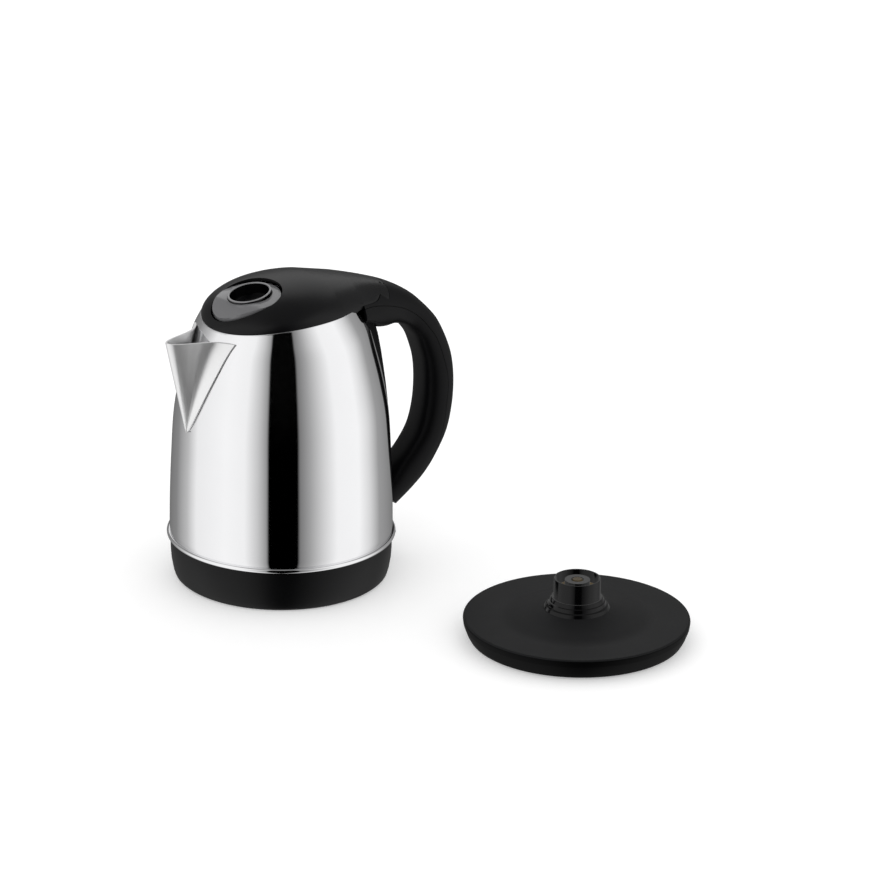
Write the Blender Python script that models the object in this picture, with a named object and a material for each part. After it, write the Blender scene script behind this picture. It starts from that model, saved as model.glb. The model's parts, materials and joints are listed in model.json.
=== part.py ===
"""Electric jug kettle standing beside its 360-degree power base.

Units are metres, +Z is up, and Z = 0 is the table. The jug's symmetry plane is parallel to XZ:
its spout points to -X and its handle to +X. The origin is the middle of the layout's footprint.
"""

import math

import bmesh
import bpy
from mathutils import Matrix, Vector

MM = 0.001
GAP = 0.3 * MM  # air between pieces that touch on the real kettle
RUN = 0.5 * MM  # radial clearance of what slides or turns

# ---------------------------------------------------------------- driving sizes
# Jug body
BEAD_RADIUS = 80.0 * MM  # rolled bead round the bottom of the steel body
BEAD_Z = 31.2 * MM
WALL_RADIUS = BEAD_RADIUS - 2.0 * MM  # steel wall just above the bead
MOUTH_RADIUS = BEAD_RADIUS - 28.0 * MM  # steel wall at MOUTH_Z
STEEL = 1.2 * MM
SEAM_Z = 199.0 * MM  # highest point of the edge between body and lid
MOUTH_Z = SEAM_Z - 1.0 * MM
SEAM_CREST_X = 15.6 * MM
SEAM_DROP = 7.3116 * MM  # from there down to the front of the mouth
SEAM_FALL = SEAM_DROP / (MOUTH_RADIUS + SEAM_CREST_X) ** 2

# Jug foot; docked, it stands on the base's flat ring at BASE_EDGE_Z
SKIRT_RADIUS = BEAD_RADIUS - 2.6 * MM
SKIRT_FOOT_RADIUS = SKIRT_RADIUS - 5.4 * MM
SKIRT_TOP_Z = 29.4 * MM
SKIRT_WALL = 2.4 * MM
SOCKET_FLOOR_Z = 13.0 * MM  # underside of the skirt's raised centre

# Spout
SPOUT_TIP = BEAD_RADIUS + 12.0 * MM  # from the jug axis to the tip
SPOUT_RIM_Z = SEAM_Z - 12.6 * MM
SPOUT_FOOT_Z = SPOUT_RIM_Z - 67.4 * MM
SPOUT_FOOT_REACH = WALL_RADIUS - 1.1 * MM
SPOUT_HALF_WIDTH = 27.0 * MM

# Lid
LID_TAIL_X = MOUTH_RADIUS - 6.0 * MM  # centre of the lid's round tail
LID_TAIL_RADIUS = 29.5 * MM
LID_WALL = 2.4 * MM
HINGE_X = LID_TAIL_X + 25.0 * MM
HINGE_Z = SEAM_Z + 0.5 * MM
HINGE_PIN_RADIUS = 1.3 * MM
WELL_X = -25.5 * MM
WELL_RADIUS = 13.8 * MM
WELL_DEPTH = 14.8 * MM
WELL_PROUD = 0.8 * MM  # how far the well's rim stands above the panel
PANEL_FRONT = 31.0 * MM  # from the well's axis to the panel's blunt front
PANEL_REAR = 20.5 * MM
PANEL_HALF_WIDTH = 21.5 * MM
WELL_TILT = math.radians(12.0)  # the well leans towards the spout
BUTTON_TRAVEL = 3.0 * MM

# Handle
HANDLE_HALF_WIDTH = 15.0 * MM
HANDLE_WALL = 2.6 * MM
HANDLE_END_Z = 32.6 * MM
SPINE_HALF_WIDTH = 17.0 * MM
SPINE_PROUD = 6.0 * MM

# Power base
BASE_RADIUS = SKIRT_RADIUS - 0.2 * MM
BASE_FOOT_RADIUS = BASE_RADIUS - 4.0 * MM
BASE_EDGE_Z = 15.4 * MM
BASE_WALL = 2.4 * MM
BASE_SEAT_RADIUS = 48.0 * MM
BASE_CONE_Z = 21.7 * MM
BASE_NECK_Z = 30.2 * MM
POST_RADIUS = 15.9 * MM  # collar of the 360-degree connector
POST_TOP_Z = 43.5 * MM
BASE_CONE_RADIUS = POST_RADIUS + 6.5 * MM
POST_WALL = 1.3 * MM
CORE_RADIUS = 8.6 * MM
EARTH_PIN_RADIUS = 4.2 * MM
FOOT_DROP = 1.2 * MM  # how far the rubber feet stand below the base

# Layout: the base stands beside the jug, clear of it
BASE_FROM_JUG = Vector((109.1 * MM, -205.5 * MM, 0.0))

# Where each group stands, so that the whole layout is centred on the origin
LEFT = -SPOUT_TIP
RIGHT = BASE_FROM_JUG.x + BASE_RADIUS
BACK = BEAD_RADIUS
FRONT = BASE_FROM_JUG.y - BASE_RADIUS
JUG = Vector((-(LEFT + RIGHT) / 2, -(BACK + FRONT) / 2, 0.0))
BASE = JUG + BASE_FROM_JUG

ROUND = 32  # facets of the large turned pieces
MIDDLE = 24  # facets of the middling ones
SMALL = 12  # facets of small round pieces


# ---------------------------------------------------------------- scene and materials
def clear_scene():
    for old in list(bpy.data.objects):
        bpy.data.objects.remove(old, do_unlink=True)


def new_collection(name):
    made = bpy.data.collections.new(name)
    bpy.context.scene.collection.children.link(made)
    return made


def material(name, colour, roughness, metallic=0.0):
    made = bpy.data.materials.new(name)
    made.use_nodes = True
    shader = made.node_tree.nodes["Principled BSDF"]
    shader.inputs["Base Color"].default_value = (*colour, 1.0)
    shader.inputs["Roughness"].default_value = roughness
    shader.inputs["Metallic"].default_value = metallic
    return made


clear_scene()
PARTS = new_collection("electric_kettle")
CUTTERS = new_collection("cutters")

COLOURS = {
    "polished_steel": ((0.72, 0.72, 0.73), 0.06, 1.0),
    "satin_steel": ((0.62, 0.62, 0.62), 0.3, 1.0),
    "black_satin": ((0.02, 0.02, 0.022), 0.42, 0.0),
    "black_gloss": ((0.015, 0.015, 0.017), 0.12, 0.0),
    "black_matte": ((0.022, 0.022, 0.024), 0.55, 0.0),
    "silicone": ((0.55, 0.55, 0.53), 0.6, 0.0),
    "rubber": ((0.03, 0.03, 0.03), 0.85, 0.0),
    "aluminium": ((0.6, 0.61, 0.62), 0.4, 1.0),
    "brass": ((0.7, 0.5, 0.2), 0.3, 1.0),
    "spring_steel": ((0.5, 0.5, 0.5), 0.35, 1.0),
    "cream_plastic": ((0.75, 0.71, 0.6), 0.5, 0.0),
}
MATERIALS = {name: material(name, *values) for name, values in COLOURS.items()}


# ---------------------------------------------------------------- modelling helpers
def empty(name, place, parent=None):
    made = bpy.data.objects.new(name, None)
    made.empty_display_size = 0.02
    PARTS.objects.link(made)
    made.parent = parent
    made.location = place
    return made


def add(name, mesh, parent, finish):
    """Links a finished piece under its parent empty, with its material."""
    made = bpy.data.objects.new(name, mesh)
    mesh.materials.append(MATERIALS[finish])
    PARTS.objects.link(made)
    made.parent = parent
    mesh.shade_smooth()
    mesh.set_sharp_from_angle(angle=math.radians(35))
    return made


def tool(name, mesh, parent):
    """Links a cutter, which no render or build shows."""
    made = bpy.data.objects.new(name, mesh)
    CUTTERS.objects.link(made)
    made.parent = parent
    made.hide_render = True
    made.display_type = "WIRE"
    return made


def weld(obj):
    """Merges the slivers that several cuts in a row leave behind."""
    step = obj.modifiers.new("weld", "WELD")
    step.merge_threshold = 0.05 * MM


def boolean(obj, other, operation="DIFFERENCE"):
    step = obj.modifiers.new(other.name, "BOOLEAN")
    step.operation = operation
    step.solver = "EXACT"
    step.object = other
    return obj


def turned_mesh(name, outline, steps=ROUND):
    """A closed (radius, z) outline, given with its outer side running down, turned about Z."""
    form = bmesh.new()
    rings = []
    for radius, z in outline:
        if radius < 1e-6:
            rings.append([form.verts.new((0.0, 0.0, z))] * steps)
            continue
        turn = [2 * math.pi * k / steps for k in range(steps)]
        rings.append([form.verts.new((radius * math.cos(a), radius * math.sin(a), z)) for a in turn])
    for ring, below in zip(rings, rings[1:] + rings[:1]):
        for k in range(steps):
            n = (k + 1) % steps
            corners = []
            for vert in (ring[k], below[k], below[n], ring[n]):
                if vert not in corners:
                    corners.append(vert)
            if len(corners) > 2:
                form.faces.new(corners)
    return as_mesh(name, form)


def as_mesh(name, form):
    bmesh.ops.remove_doubles(form, verts=form.verts, dist=1e-6)
    bmesh.ops.recalc_face_normals(form, faces=form.faces)
    mesh = bpy.data.meshes.new(name)
    form.to_mesh(mesh)
    form.free()
    return mesh


def loft_mesh(name, rings):
    """A closed skin through rings of equal point count, with a flat cap on each end."""
    form = bmesh.new()
    loops = [[form.verts.new(point) for point in ring] for ring in rings]
    for one, two in zip(loops, loops[1:]):
        for k in range(len(one)):
            n = (k + 1) % len(one)
            form.faces.new((one[k], two[k], two[n], one[n]))
    form.faces.new(reversed(loops[0]))
    form.faces.new(loops[-1])
    bmesh.ops.triangulate(form, faces=[face for face in form.faces if len(face.verts) > 4])
    return as_mesh(name, form)


def box_mesh(name, size, centre=(0, 0, 0), bevel=0.0):
    form = bmesh.new()
    bmesh.ops.create_cube(form, size=1.0)
    bmesh.ops.scale(form, verts=form.verts, vec=size)
    if bevel:
        bmesh.ops.bevel(form, geom=form.edges[:], offset=bevel, segments=2, affect="EDGES", profile=0.5)
    bmesh.ops.translate(form, verts=form.verts, vec=centre)
    return as_mesh(name, form)


def rod_mesh(name, radius, length, axis="Z", segments=SMALL, centre=(0, 0, 0), top_radius=None):
    form = bmesh.new()
    bmesh.ops.create_cone(
        form,
        cap_ends=True,
        segments=segments,
        radius1=radius,
        radius2=radius if top_radius is None else top_radius,
        depth=length,
    )
    turns = {"X": (math.pi / 2, "Y"), "Y": (-math.pi / 2, "X"), "Z": (0.0, "Z")}
    bmesh.ops.rotate(form, verts=form.verts, matrix=Matrix.Rotation(*[turns[axis][0], 3, turns[axis][1]]))
    bmesh.ops.translate(form, verts=form.verts, vec=centre)
    return as_mesh(name, form)


def prism_mesh(name, outline, low, high, axis="Z"):
    """A flat outline drawn as a 2D curve and extruded from low to high along Z, or along Y."""
    curve = bpy.data.curves.new(name, "CURVE")
    curve.dimensions = "2D"
    curve.fill_mode = "BOTH"
    curve.extrude = (high - low) / 2
    line = curve.splines.new("POLY")
    line.points.add(len(outline) - 1)
    for point, place in zip(line.points, outline):
        point.co = (*place, 0.0, 1.0)
    line.use_cyclic_u = True
    return curve_to_mesh(name, curve, Matrix.Translation((0, 0, (low + high) / 2)), axis)


def curve_to_mesh(name, curve, place=Matrix(), axis="Z"):
    """The mesh of a curve, welded shut. With axis Y, the curve's x and y become world x and z."""
    holder = bpy.data.objects.new(name, curve)
    bpy.context.scene.collection.objects.link(holder)
    graph = bpy.context.evaluated_depsgraph_get()
    mesh = bpy.data.meshes.new_from_object(holder.evaluated_get(graph))
    bpy.data.objects.remove(holder, do_unlink=True)
    bpy.data.curves.remove(curve)
    mesh.transform(place)
    if axis == "Y":
        mesh.transform(Matrix.Rotation(math.pi / 2, 4, "X"))
    form = bmesh.new()
    form.from_mesh(mesh)
    bpy.data.meshes.remove(mesh)
    return as_mesh(name, form)


def wire_mesh(name, points, radius, sides=2):
    """A round wire through the given points."""
    curve = bpy.data.curves.new(name, "CURVE")
    curve.dimensions = "3D"
    curve.bevel_depth = radius
    curve.bevel_resolution = sides
    curve.use_fill_caps = True
    line = curve.splines.new("POLY")
    line.points.add(len(points) - 1)
    for point, place in zip(line.points, points):
        point.co = (*place, 1.0)
    return curve_to_mesh(name, curve)


def smooth_step(low, high, value):
    part = min(1.0, max(0.0, (value - low) / (high - low)))
    return part * part * (3 - 2 * part)


def through(knots, count):
    """Points along a smooth curve through the knots, each knot a tuple of numbers."""
    spans = len(knots) - 1
    points = []
    for k in range(count):
        place = spans * k / (count - 1)
        i = min(int(place), spans - 1)
        f = place - i
        a, b, c, d = (knots[min(max(j, 0), spans)] for j in range(i - 1, i + 3))
        points.append(
            tuple(
                0.5 * (2 * q + (r - p) * f + (2 * p - 5 * q + 4 * r - s) * f * f + (3 * q - p - 3 * r + s) * f**3)
                for p, q, r, s in zip(a, b, c, d)
            )
        )
    return points


# ---------------------------------------------------------------- shapes that several pieces share
# Share of the way up the body, and share of the way in from the wall to the mouth
SHOULDER = [(0, 0), (0.15, 0.015), (0.33, 0.058), (0.52, 0.131), (0.67, 0.29), (0.8, 0.485)]
SHOULDER += [(0.89, 0.642), (0.95, 0.819), (1, 1), (1.04, 1.16)]
WALL_Z = BEAD_Z + 5 * MM
SHOULDER_LINE = through(SHOULDER, 91)


def body_radius(z):
    """Outer radius of the steel wall at a height."""
    up = (z - WALL_Z) / (MOUTH_Z - WALL_Z)
    up = min(max(up, 0.0), SHOULDER_LINE[-1][0])
    for (low, a), (high, b) in zip(SHOULDER_LINE, SHOULDER_LINE[1:]):
        if up <= high:
            share = a + (b - a) * (up - low) / max(high - low, 1e-9)
            break
    return WALL_RADIUS - (WALL_RADIUS - MOUTH_RADIUS) * share


def seam_z(x):
    """Height of the upper edge of the steel body."""
    return SEAM_Z - SEAM_FALL * (x - SEAM_CREST_X) ** 2


def wall_outline(inset, low, high, count):
    """(radius, z) down the steel wall, moved in by inset."""
    heights = [high + (low - high) * k / (count - 1) for k in range(count)]
    return [(body_radius(z) - inset, z) for z in heights]


def seam_block(name, raise_by, parent):
    """All that lies above the edge between body and lid, raised by a clearance."""
    reach = BEAD_RADIUS * 1.3
    steps = [reach * (k / 8 - 1) for k in range(17)]
    outline = [(x, seam_z(x) + raise_by) for x in steps]
    outline += [(reach, SEAM_Z + reach), (-reach, SEAM_Z + reach)]
    return tool(name, prism_mesh(name, outline, -reach, reach, "Y"), parent)


# ---------------------------------------------------------------- power base
def make_power_base():
    group = empty("power_base", BASE)
    floor = FOOT_DROP
    seat = BASE_EDGE_Z
    top = [
        (POST_RADIUS + GAP, BASE_NECK_Z),
        (POST_RADIUS + 1.6 * MM, BASE_NECK_Z),
        (POST_RADIUS + 2.6 * MM, BASE_NECK_Z - 2.6 * MM),
        (POST_RADIUS + 3.4 * MM, BASE_NECK_Z - 2.9 * MM),
        (POST_RADIUS + 3.9 * MM, BASE_NECK_Z - 5.4 * MM),
        (BASE_CONE_RADIUS - 1.2 * MM, BASE_NECK_Z - 5.9 * MM),
        (BASE_CONE_RADIUS, BASE_CONE_Z),
        (BASE_SEAT_RADIUS, seat + 0.9 * MM),
        (BASE_SEAT_RADIUS + 2 * MM, seat),
        (BASE_RADIUS - 1.4 * MM, seat),
        (BASE_RADIUS - 0.4 * MM, seat - 0.4 * MM),
        (BASE_RADIUS, seat - 1.4 * MM),
        (BASE_RADIUS - 0.5 * MM, seat - 5 * MM),
        (BASE_FOOT_RADIUS + 1.2 * MM, floor + 3.2 * MM),
        (BASE_FOOT_RADIUS - 0.6 * MM, floor),
    ]
    under = [
        (BASE_FOOT_RADIUS - 0.6 * MM - BASE_WALL, floor),
        (BASE_RADIUS - BASE_WALL - 0.5 * MM, seat - BASE_WALL - 1 * MM),
        (BASE_SEAT_RADIUS, seat - BASE_WALL),
        (BASE_CONE_RADIUS - BASE_WALL, BASE_CONE_Z - BASE_WALL),
        (POST_RADIUS + GAP, BASE_CONE_Z - BASE_WALL),
    ]
    cover = add("base_cover", turned_mesh("base_cover", top + under), group, "black_matte")

    inner = BASE_FOOT_RADIUS - 0.6 * MM - BASE_WALL - GAP
    plate_top = floor + 1.8 * MM
    plate = [(0, plate_top), (inner, plate_top), (inner, floor), (0, floor)]
    bottom = add("base_bottom_plate", turned_mesh("base_bottom_plate", plate), group, "black_matte")

    # The connector: a collar on a flange, a moulded core, two contact rings and the earth pin
    flange = POST_RADIUS + 7 * MM
    flange_z = BASE_CONE_Z - BASE_WALL - GAP
    collar = [
        (POST_RADIUS - POST_WALL, POST_TOP_Z),
        (POST_RADIUS - 0.3 * MM, POST_TOP_Z),
        (POST_RADIUS, POST_TOP_Z - 0.4 * MM),
        (POST_RADIUS, flange_z),
        (flange - 4 * MM, flange_z),
        (flange - 4 * MM, plate_top + GAP),
        (POST_RADIUS - POST_WALL, plate_top + GAP),
    ]
    add("connector_collar", turned_mesh("connector_collar", collar, MIDDLE), group, "black_gloss")
    slot = POST_RADIUS - POST_WALL - GAP
    shelf = BASE_NECK_Z + 1 * MM
    core = [
        (EARTH_PIN_RADIUS + GAP, POST_TOP_Z - 1.2 * MM),
        (CORE_RADIUS, POST_TOP_Z - 1.2 * MM),
        (CORE_RADIUS, shelf),
        (slot, shelf),
        (slot, plate_top + GAP),
        (EARTH_PIN_RADIUS + GAP, plate_top + GAP),
    ]
    add("connector_core", turned_mesh("connector_core", core, MIDDLE), group, "black_gloss")
    for name, low, high in (
        ("contact_ring_inner", CORE_RADIUS + GAP, CORE_RADIUS + 1.3 * MM),
        ("contact_ring_outer", slot - 1.3 * MM, slot - GAP),
    ):
        strip = [(low, shelf + 5 * MM), (high, shelf + 5 * MM), (high, shelf + GAP), (low, shelf + GAP)]
        add(name, turned_mesh(name, strip, SMALL), group, "brass")
    pin = [
        (0, POST_TOP_Z - 0.9 * MM),
        (EARTH_PIN_RADIUS - 1 * MM, POST_TOP_Z - 0.9 * MM),
        (EARTH_PIN_RADIUS, POST_TOP_Z - 1.6 * MM),
        (EARTH_PIN_RADIUS, plate_top + 4 * MM),
        (0, plate_top + 4 * MM),
    ]
    add("earth_pin", turned_mesh("earth_pin", pin, SMALL), group, "brass")

    # Cord gland in the rear wall
    gland_z = floor + 6.5 * MM
    gland_x = BASE_RADIUS - 4.5 * MM
    hole = tool("gland_hole", rod_mesh("gland_hole", 4.2 * MM, 12 * MM, "X", 16, (gland_x, 0, gland_z)), group)
    boolean(cover, hole)
    gland = add("cord_gland", rod_mesh("cord_gland", 3.9 * MM, 7 * MM, "X", 16), group, "rubber")
    gland.location = (gland_x, 0, gland_z)
    bore = tool("gland_bore", rod_mesh("gland_bore", 2.6 * MM, 12 * MM, "X", 12, (gland_x, 0, gland_z)), group)
    boolean(gland, bore)

    # Three screws through the bottom plate, and three rubber feet under it
    for k in range(3):
        turn = 2 * math.pi * k / 3 + math.radians(25)
        place = Vector((math.cos(turn), math.sin(turn), 0)) * (inner - 12 * MM)
        hole = tool(f"base_screw_hole_{k}", rod_mesh(f"base_screw_hole_{k}", 2.1 * MM, 8 * MM, segments=12), group)
        hole.location = place + Vector((0, 0, floor))
        boolean(bottom, hole)
        shank = [(0, 8 * MM), (1.6 * MM, 8 * MM), (1.6 * MM, 0.6 * MM), (0, 0.6 * MM)]
        made = add(f"base_screw_{k + 1}", turned_mesh(f"base_screw_{k + 1}", shank, 12), group, "spring_steel")
        made.location = place + Vector((0, 0, floor))
        turn += math.pi / 3
        pad = [(0, floor - GAP / 3), (6 * MM, floor - GAP / 3), (5.4 * MM, 0), (0, 0)]
        foot = add(f"base_foot_{k + 1}", turned_mesh(f"base_foot_{k + 1}", pad, SMALL), group, "rubber")
        foot.location = Vector((math.cos(turn), math.sin(turn), 0)) * (inner - 9 * MM)
    weld(bottom)
    return group


# ---------------------------------------------------------------- jug body
def make_body(jug):
    top = SEAM_Z + 5 * MM
    outer = wall_outline(0, WALL_Z + 4 * MM, top, 15)
    bead = [
        (WALL_RADIUS, WALL_Z),
        (WALL_RADIUS + 0.5 * MM, BEAD_Z + 2.2 * MM),
        (BEAD_RADIUS - 0.4 * MM, BEAD_Z + 0.9 * MM),
        (BEAD_RADIUS, BEAD_Z),
        (BEAD_RADIUS - 0.4 * MM, BEAD_Z - 0.9 * MM),
        (WALL_RADIUS, BEAD_Z - 1.4 * MM),
    ]
    inner = [(WALL_RADIUS - STEEL, BEAD_Z - 1.4 * MM)]
    inner += [(r, z) for r, z in reversed(wall_outline(STEEL, WALL_Z + 4 * MM, top, 9))]
    body = add("body_shell", turned_mesh("body_shell", outer + bead + inner), jug, "polished_steel")
    boolean(body, seam_block("body_mouth_cut", 0.0, jug))

    # Pouring window behind the spout
    half = SPOUT_HALF_WIDTH * 0.45
    low = SPOUT_FOOT_Z + 28 * MM
    high = SPOUT_RIM_Z - 8 * MM
    outline = [(-half * 0.35, low), (half * 0.35, low), (half, high - 4 * MM), (half * 0.8, high)]
    outline += [(-half * 0.8, high), (-half, high - 4 * MM)]
    window = prism_mesh("pouring_window", outline, -SPOUT_TIP, SPOUT_TIP, "Y")
    window.transform(Matrix.Rotation(math.pi / 2, 4, "Z"))
    window.transform(Matrix.Translation((-SPOUT_TIP - 30 * MM, 0, 0)))
    boolean(body, tool("pouring_window", window, jug))

    floor = BEAD_Z + 4.6 * MM
    rim = WALL_RADIUS - STEEL - GAP
    plate = [(0, floor), (rim, floor), (rim, floor - STEEL), (0, floor - STEEL)]
    add("floor_plate", turned_mesh("floor_plate", plate), jug, "satin_steel")
    return body


def spout_half_width(z):
    up = max(0.0, (z - SPOUT_FOOT_Z) / (SPOUT_RIM_Z - SPOUT_FOOT_Z))
    return max(1.0 * MM, SPOUT_HALF_WIDTH * up**0.72)


def spout_ring(z, wall):
    """Outline of the spout at one height, moved in by a wall: root, nose, root, and a keel inside the body."""
    up = (z - SPOUT_FOOT_Z) / (SPOUT_RIM_Z - SPOUT_FOOT_Z)
    nose = SPOUT_FOOT_REACH + (SPOUT_TIP - SPOUT_FOOT_REACH) * up
    half = spout_half_width(z)
    root = math.sqrt(max((body_radius(z) + GAP + STEEL) ** 2 - half**2, 0.0))
    root = min(root, nose - 0.5 * MM)
    side = []
    for k in range(8):
        back = (k / 7) ** 1.4
        side.append(Vector((-(nose + (root - nose) * back), half * (0.58 * math.sqrt(back) + 0.42 * back**6))))
    moved = [side[0] + Vector((wall * 1.15, 0))]
    for k in range(1, 8):
        way = (side[min(k + 1, 7)] - side[k - 1]).normalized()
        inset = wall * (1 + 0.9 * (k / 7) ** 5)
        moved.append(side[k] + Vector((way.y, -way.x)) * inset)
        moved[-1].y = max(moved[-1].y, 0.3 * MM)
    keel = Vector((moved[-1].x + 7 * MM, moved[-1].y))
    far = [*moved, keel]
    return [(p.x, -p.y, z) for p in reversed(far[1:])] + [(p.x, p.y, z) for p in far]


def make_spout(jug):
    count = 12
    heights = [SPOUT_FOOT_Z + (SPOUT_RIM_Z - SPOUT_FOOT_Z) * (k / (count - 1)) ** 1.2 for k in range(count)]
    rings = [spout_ring(z, 0.0) for z in heights]
    spout = add("spout", loft_mesh("spout", rings), jug, "satin_steel")
    outline = wall_outline(-GAP, SPOUT_FOOT_Z - 20 * MM, MOUTH_Z, 16)
    outline += [(0, SPOUT_FOOT_Z - 20 * MM), (0, MOUTH_Z)]
    boolean(spout, tool("spout_seat", turned_mesh("spout_seat", outline, 72), jug))
    low = SPOUT_FOOT_Z + 3.5 * MM
    heights = [low + (SPOUT_RIM_Z + 4 * MM - low) * (k / (count - 1)) ** 1.2 for k in range(count)]
    hollow = loft_mesh("spout_hollow", [spout_ring(z, STEEL) for z in heights])
    boolean(spout, tool("spout_hollow", hollow, jug))
    weld(spout)
    return spout


# ---------------------------------------------------------------- jug foot and heating parts
def make_foot(jug):
    rim = WALL_RADIUS - 2.6 * MM
    centre = SKIRT_RADIUS - 38.5 * MM  # rim of the raised centre
    skirt_outline = [
        (rim, SKIRT_TOP_Z),
        (SKIRT_RADIUS, SKIRT_TOP_Z),
        (SKIRT_RADIUS, 20 * MM),
        (SKIRT_RADIUS - 1.7 * MM, 6 * MM),
        (SKIRT_RADIUS - 2.9 * MM, 2 * MM),
        (SKIRT_FOOT_RADIUS, 0),
        (SKIRT_FOOT_RADIUS - 6 * MM, 0),
        (SKIRT_FOOT_RADIUS - 9 * MM, 4 * MM),
        (centre - 1 * MM, SOCKET_FLOOR_Z),
        (POST_RADIUS + RUN + 2 * MM, SOCKET_FLOOR_Z),
        (POST_RADIUS + RUN + 2 * MM, SOCKET_FLOOR_Z + SKIRT_WALL),
        (centre, SOCKET_FLOOR_Z + SKIRT_WALL),
        (SKIRT_FOOT_RADIUS - 8 * MM, 6.6 * MM),
        (rim - SKIRT_WALL, 6.6 * MM),
        (rim - SKIRT_WALL, SKIRT_TOP_Z),
    ]
    skirt = add("base_skirt", turned_mesh("base_skirt", skirt_outline), jug, "black_satin")

    # Opening in the rear wall for the switch lever
    slot = box_mesh("lever_slot", (30 * MM, 21 * MM, 13 * MM), (SKIRT_RADIUS, 0, 15 * MM))
    boolean(skirt, tool("lever_slot", slot, jug))

    under = BEAD_Z + 4.6 * MM - STEEL - GAP
    spread = [(0, under), (60 * MM, under), (60 * MM, under - 2.4 * MM), (0, under - 2.4 * MM)]
    add("heat_spreader", turned_mesh("heat_spreader", spread, MIDDLE), jug, "aluminium")
    arc = [math.radians(-150 + 300 * k / 18) for k in range(19)]
    radius = 50 * MM
    height = under - 2.4 * MM - GAP - 3.2 * MM
    line = [(radius * math.cos(a), radius * math.sin(a), height) for a in arc]
    add("heating_element", wire_mesh("heating_element", line, 3.2 * MM), jug, "spring_steel")

    # Control: a moulded housing, the socket ring round the connector collar, and its contacts
    top = height + 3.2 * MM
    low = SOCKET_FLOOR_Z + SKIRT_WALL + GAP
    mouth = POST_RADIUS + RUN
    roof = POST_TOP_Z - BASE_EDGE_Z + 0.8 * MM
    sill = BASE_NECK_Z - BASE_EDGE_Z + 0.8 * MM
    ring = [(mouth, roof - GAP), (mouth + 1.6 * MM, roof - GAP), (mouth + 1.6 * MM, sill), (mouth, sill)]
    add("socket_ring", turned_mesh("socket_ring", ring, MIDDLE), jug, "black_gloss")
    crown = max(top, roof + 1.5 * MM)
    cup = [
        (0, crown),
        (26 * MM, crown),
        (26 * MM, low),
        (mouth + 2.6 * MM, low),
        (mouth + 2.6 * MM, roof),
        (0, roof),
    ]
    add("control_housing", turned_mesh("control_housing", cup, MIDDLE), jug, "cream_plastic")
    for name, low_r, high_r, depth in (
        ("socket_contact_live", CORE_RADIUS + 2.2 * MM, CORE_RADIUS + 3.4 * MM, 9 * MM),
        ("socket_contact_earth", 0.0, EARTH_PIN_RADIUS - 0.8 * MM, 1.4 * MM),
    ):
        strip = [(low_r, roof - GAP), (high_r, roof - GAP), (high_r, roof - depth), (low_r, roof - depth)]
        add(name, turned_mesh(name, strip, SMALL), jug, "brass")
    return skirt


def make_switch(jug):
    """Rocker lever through the rear of the skirt, on its pin, held by the snap-action box behind it."""
    place = Vector((SKIRT_RADIUS - 9 * MM, 0, 16.5 * MM))
    back = SKIRT_RADIUS - 33.5 * MM
    face = SKIRT_RADIUS - 18.5 * MM
    cheek = SKIRT_RADIUS - 6.4 * MM
    wide = 12.6 * MM
    slim = 10.2 * MM
    outline = [(back, -wide), (cheek, -wide), (cheek, -slim), (face, -slim)]
    outline += [(face, slim), (cheek, slim), (cheek, wide), (back, wide)]
    low = SOCKET_FLOOR_Z + 1.2 * MM
    box = add("switch_box", prism_mesh("switch_box", outline, low, low + 10 * MM), jug, "cream_plastic")
    hole = rod_mesh("lever_pin_hole", HINGE_PIN_RADIUS + GAP, 40 * MM, "Y", 16, place)
    boolean(box, tool("lever_pin_hole", hole, jug))
    lever = empty("switch_lever_axis", place, jug)
    outline = [(-9 * MM, -2 * MM), (0, -3.2 * MM), (9 * MM, -3 * MM), (20 * MM, -4 * MM), (21.5 * MM, -2.6 * MM)]
    outline += [(20 * MM, 0), (9 * MM, 2.6 * MM), (0, 3.2 * MM), (-9 * MM, 2 * MM)]
    form = prism_mesh("switch_lever", outline, -9 * MM, 9 * MM, "Y")
    rocker = add("switch_lever", form, lever, "black_gloss")
    bore = rod_mesh("lever_bore", HINGE_PIN_RADIUS + RUN, 40 * MM, "Y", 16)
    boolean(rocker, tool("lever_bore", bore, lever))
    pin = add("lever_pin", rod_mesh("lever_pin", HINGE_PIN_RADIUS, 25 * MM, "Y", 12), jug, "spring_steel")
    pin.location = place


# ---------------------------------------------------------------- the crest: lid, neck and handle as one flowing form
LEAVE_X = 24.5 * MM  # where the lid's outline leaves the steel edge
FRONT_X = -(MOUTH_RADIUS + 4.1 * MM)
CROWN = [(-56.1, 0.7), (-51, 6.6), (-42, 12.9), (-29, 18.8), (-12, 23.4), (5, 25.4), (20, 25.7), (34, 24.4)]
CROWN += [(46, 21.9)]  # x in mm, and height above the front end of the steel edge

# Handle sections: inner point (x, z), outer point (x, z), half width, share of depth below the widest line
HANDLE = [
    (46, 186, 46, 212.8, 38.2, 0.14),
    (56, 180, 58, 209.6, 32.2, 0.24),
    (66, 173.5, 71, 205.6, 26.0, 0.34),
    (76, 170.6, 84, 200.6, 20.4, 0.42),
    (84.5, 170.6, 96, 194.2, 17.2, 0.47),
    (91.5, 169.0, 105, 188.0, 15.7, 0.5),
    (97.2, 166.2, 112, 181.6, 15, 0.5),
    (102.6, 160.3, 119, 174.4, 15, 0.5),
    (106.5, 154.3, 125.5, 166, 15, 0.5),
    (110.4, 144, 132.7, 151.5, 15, 0.5),
    (113, 133.8, 137.4, 137, 15, 0.5),
    (114, 120, 139.2, 119.5, 15, 0.5),
    (113, 104, 138, 101, 15, 0.5),
    (109.2, 88.5, 133.6, 82.5, 15, 0.5),
    (102.3, 77, 124.8, 66, 15, 0.5),
    (93, 66.5, 116, 54, 15, 0.5),
    (84, 56, 104.5, 44, 15, 0.5),
    (76, 48, 91, 33.8, 14, 0.5),
]
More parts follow.
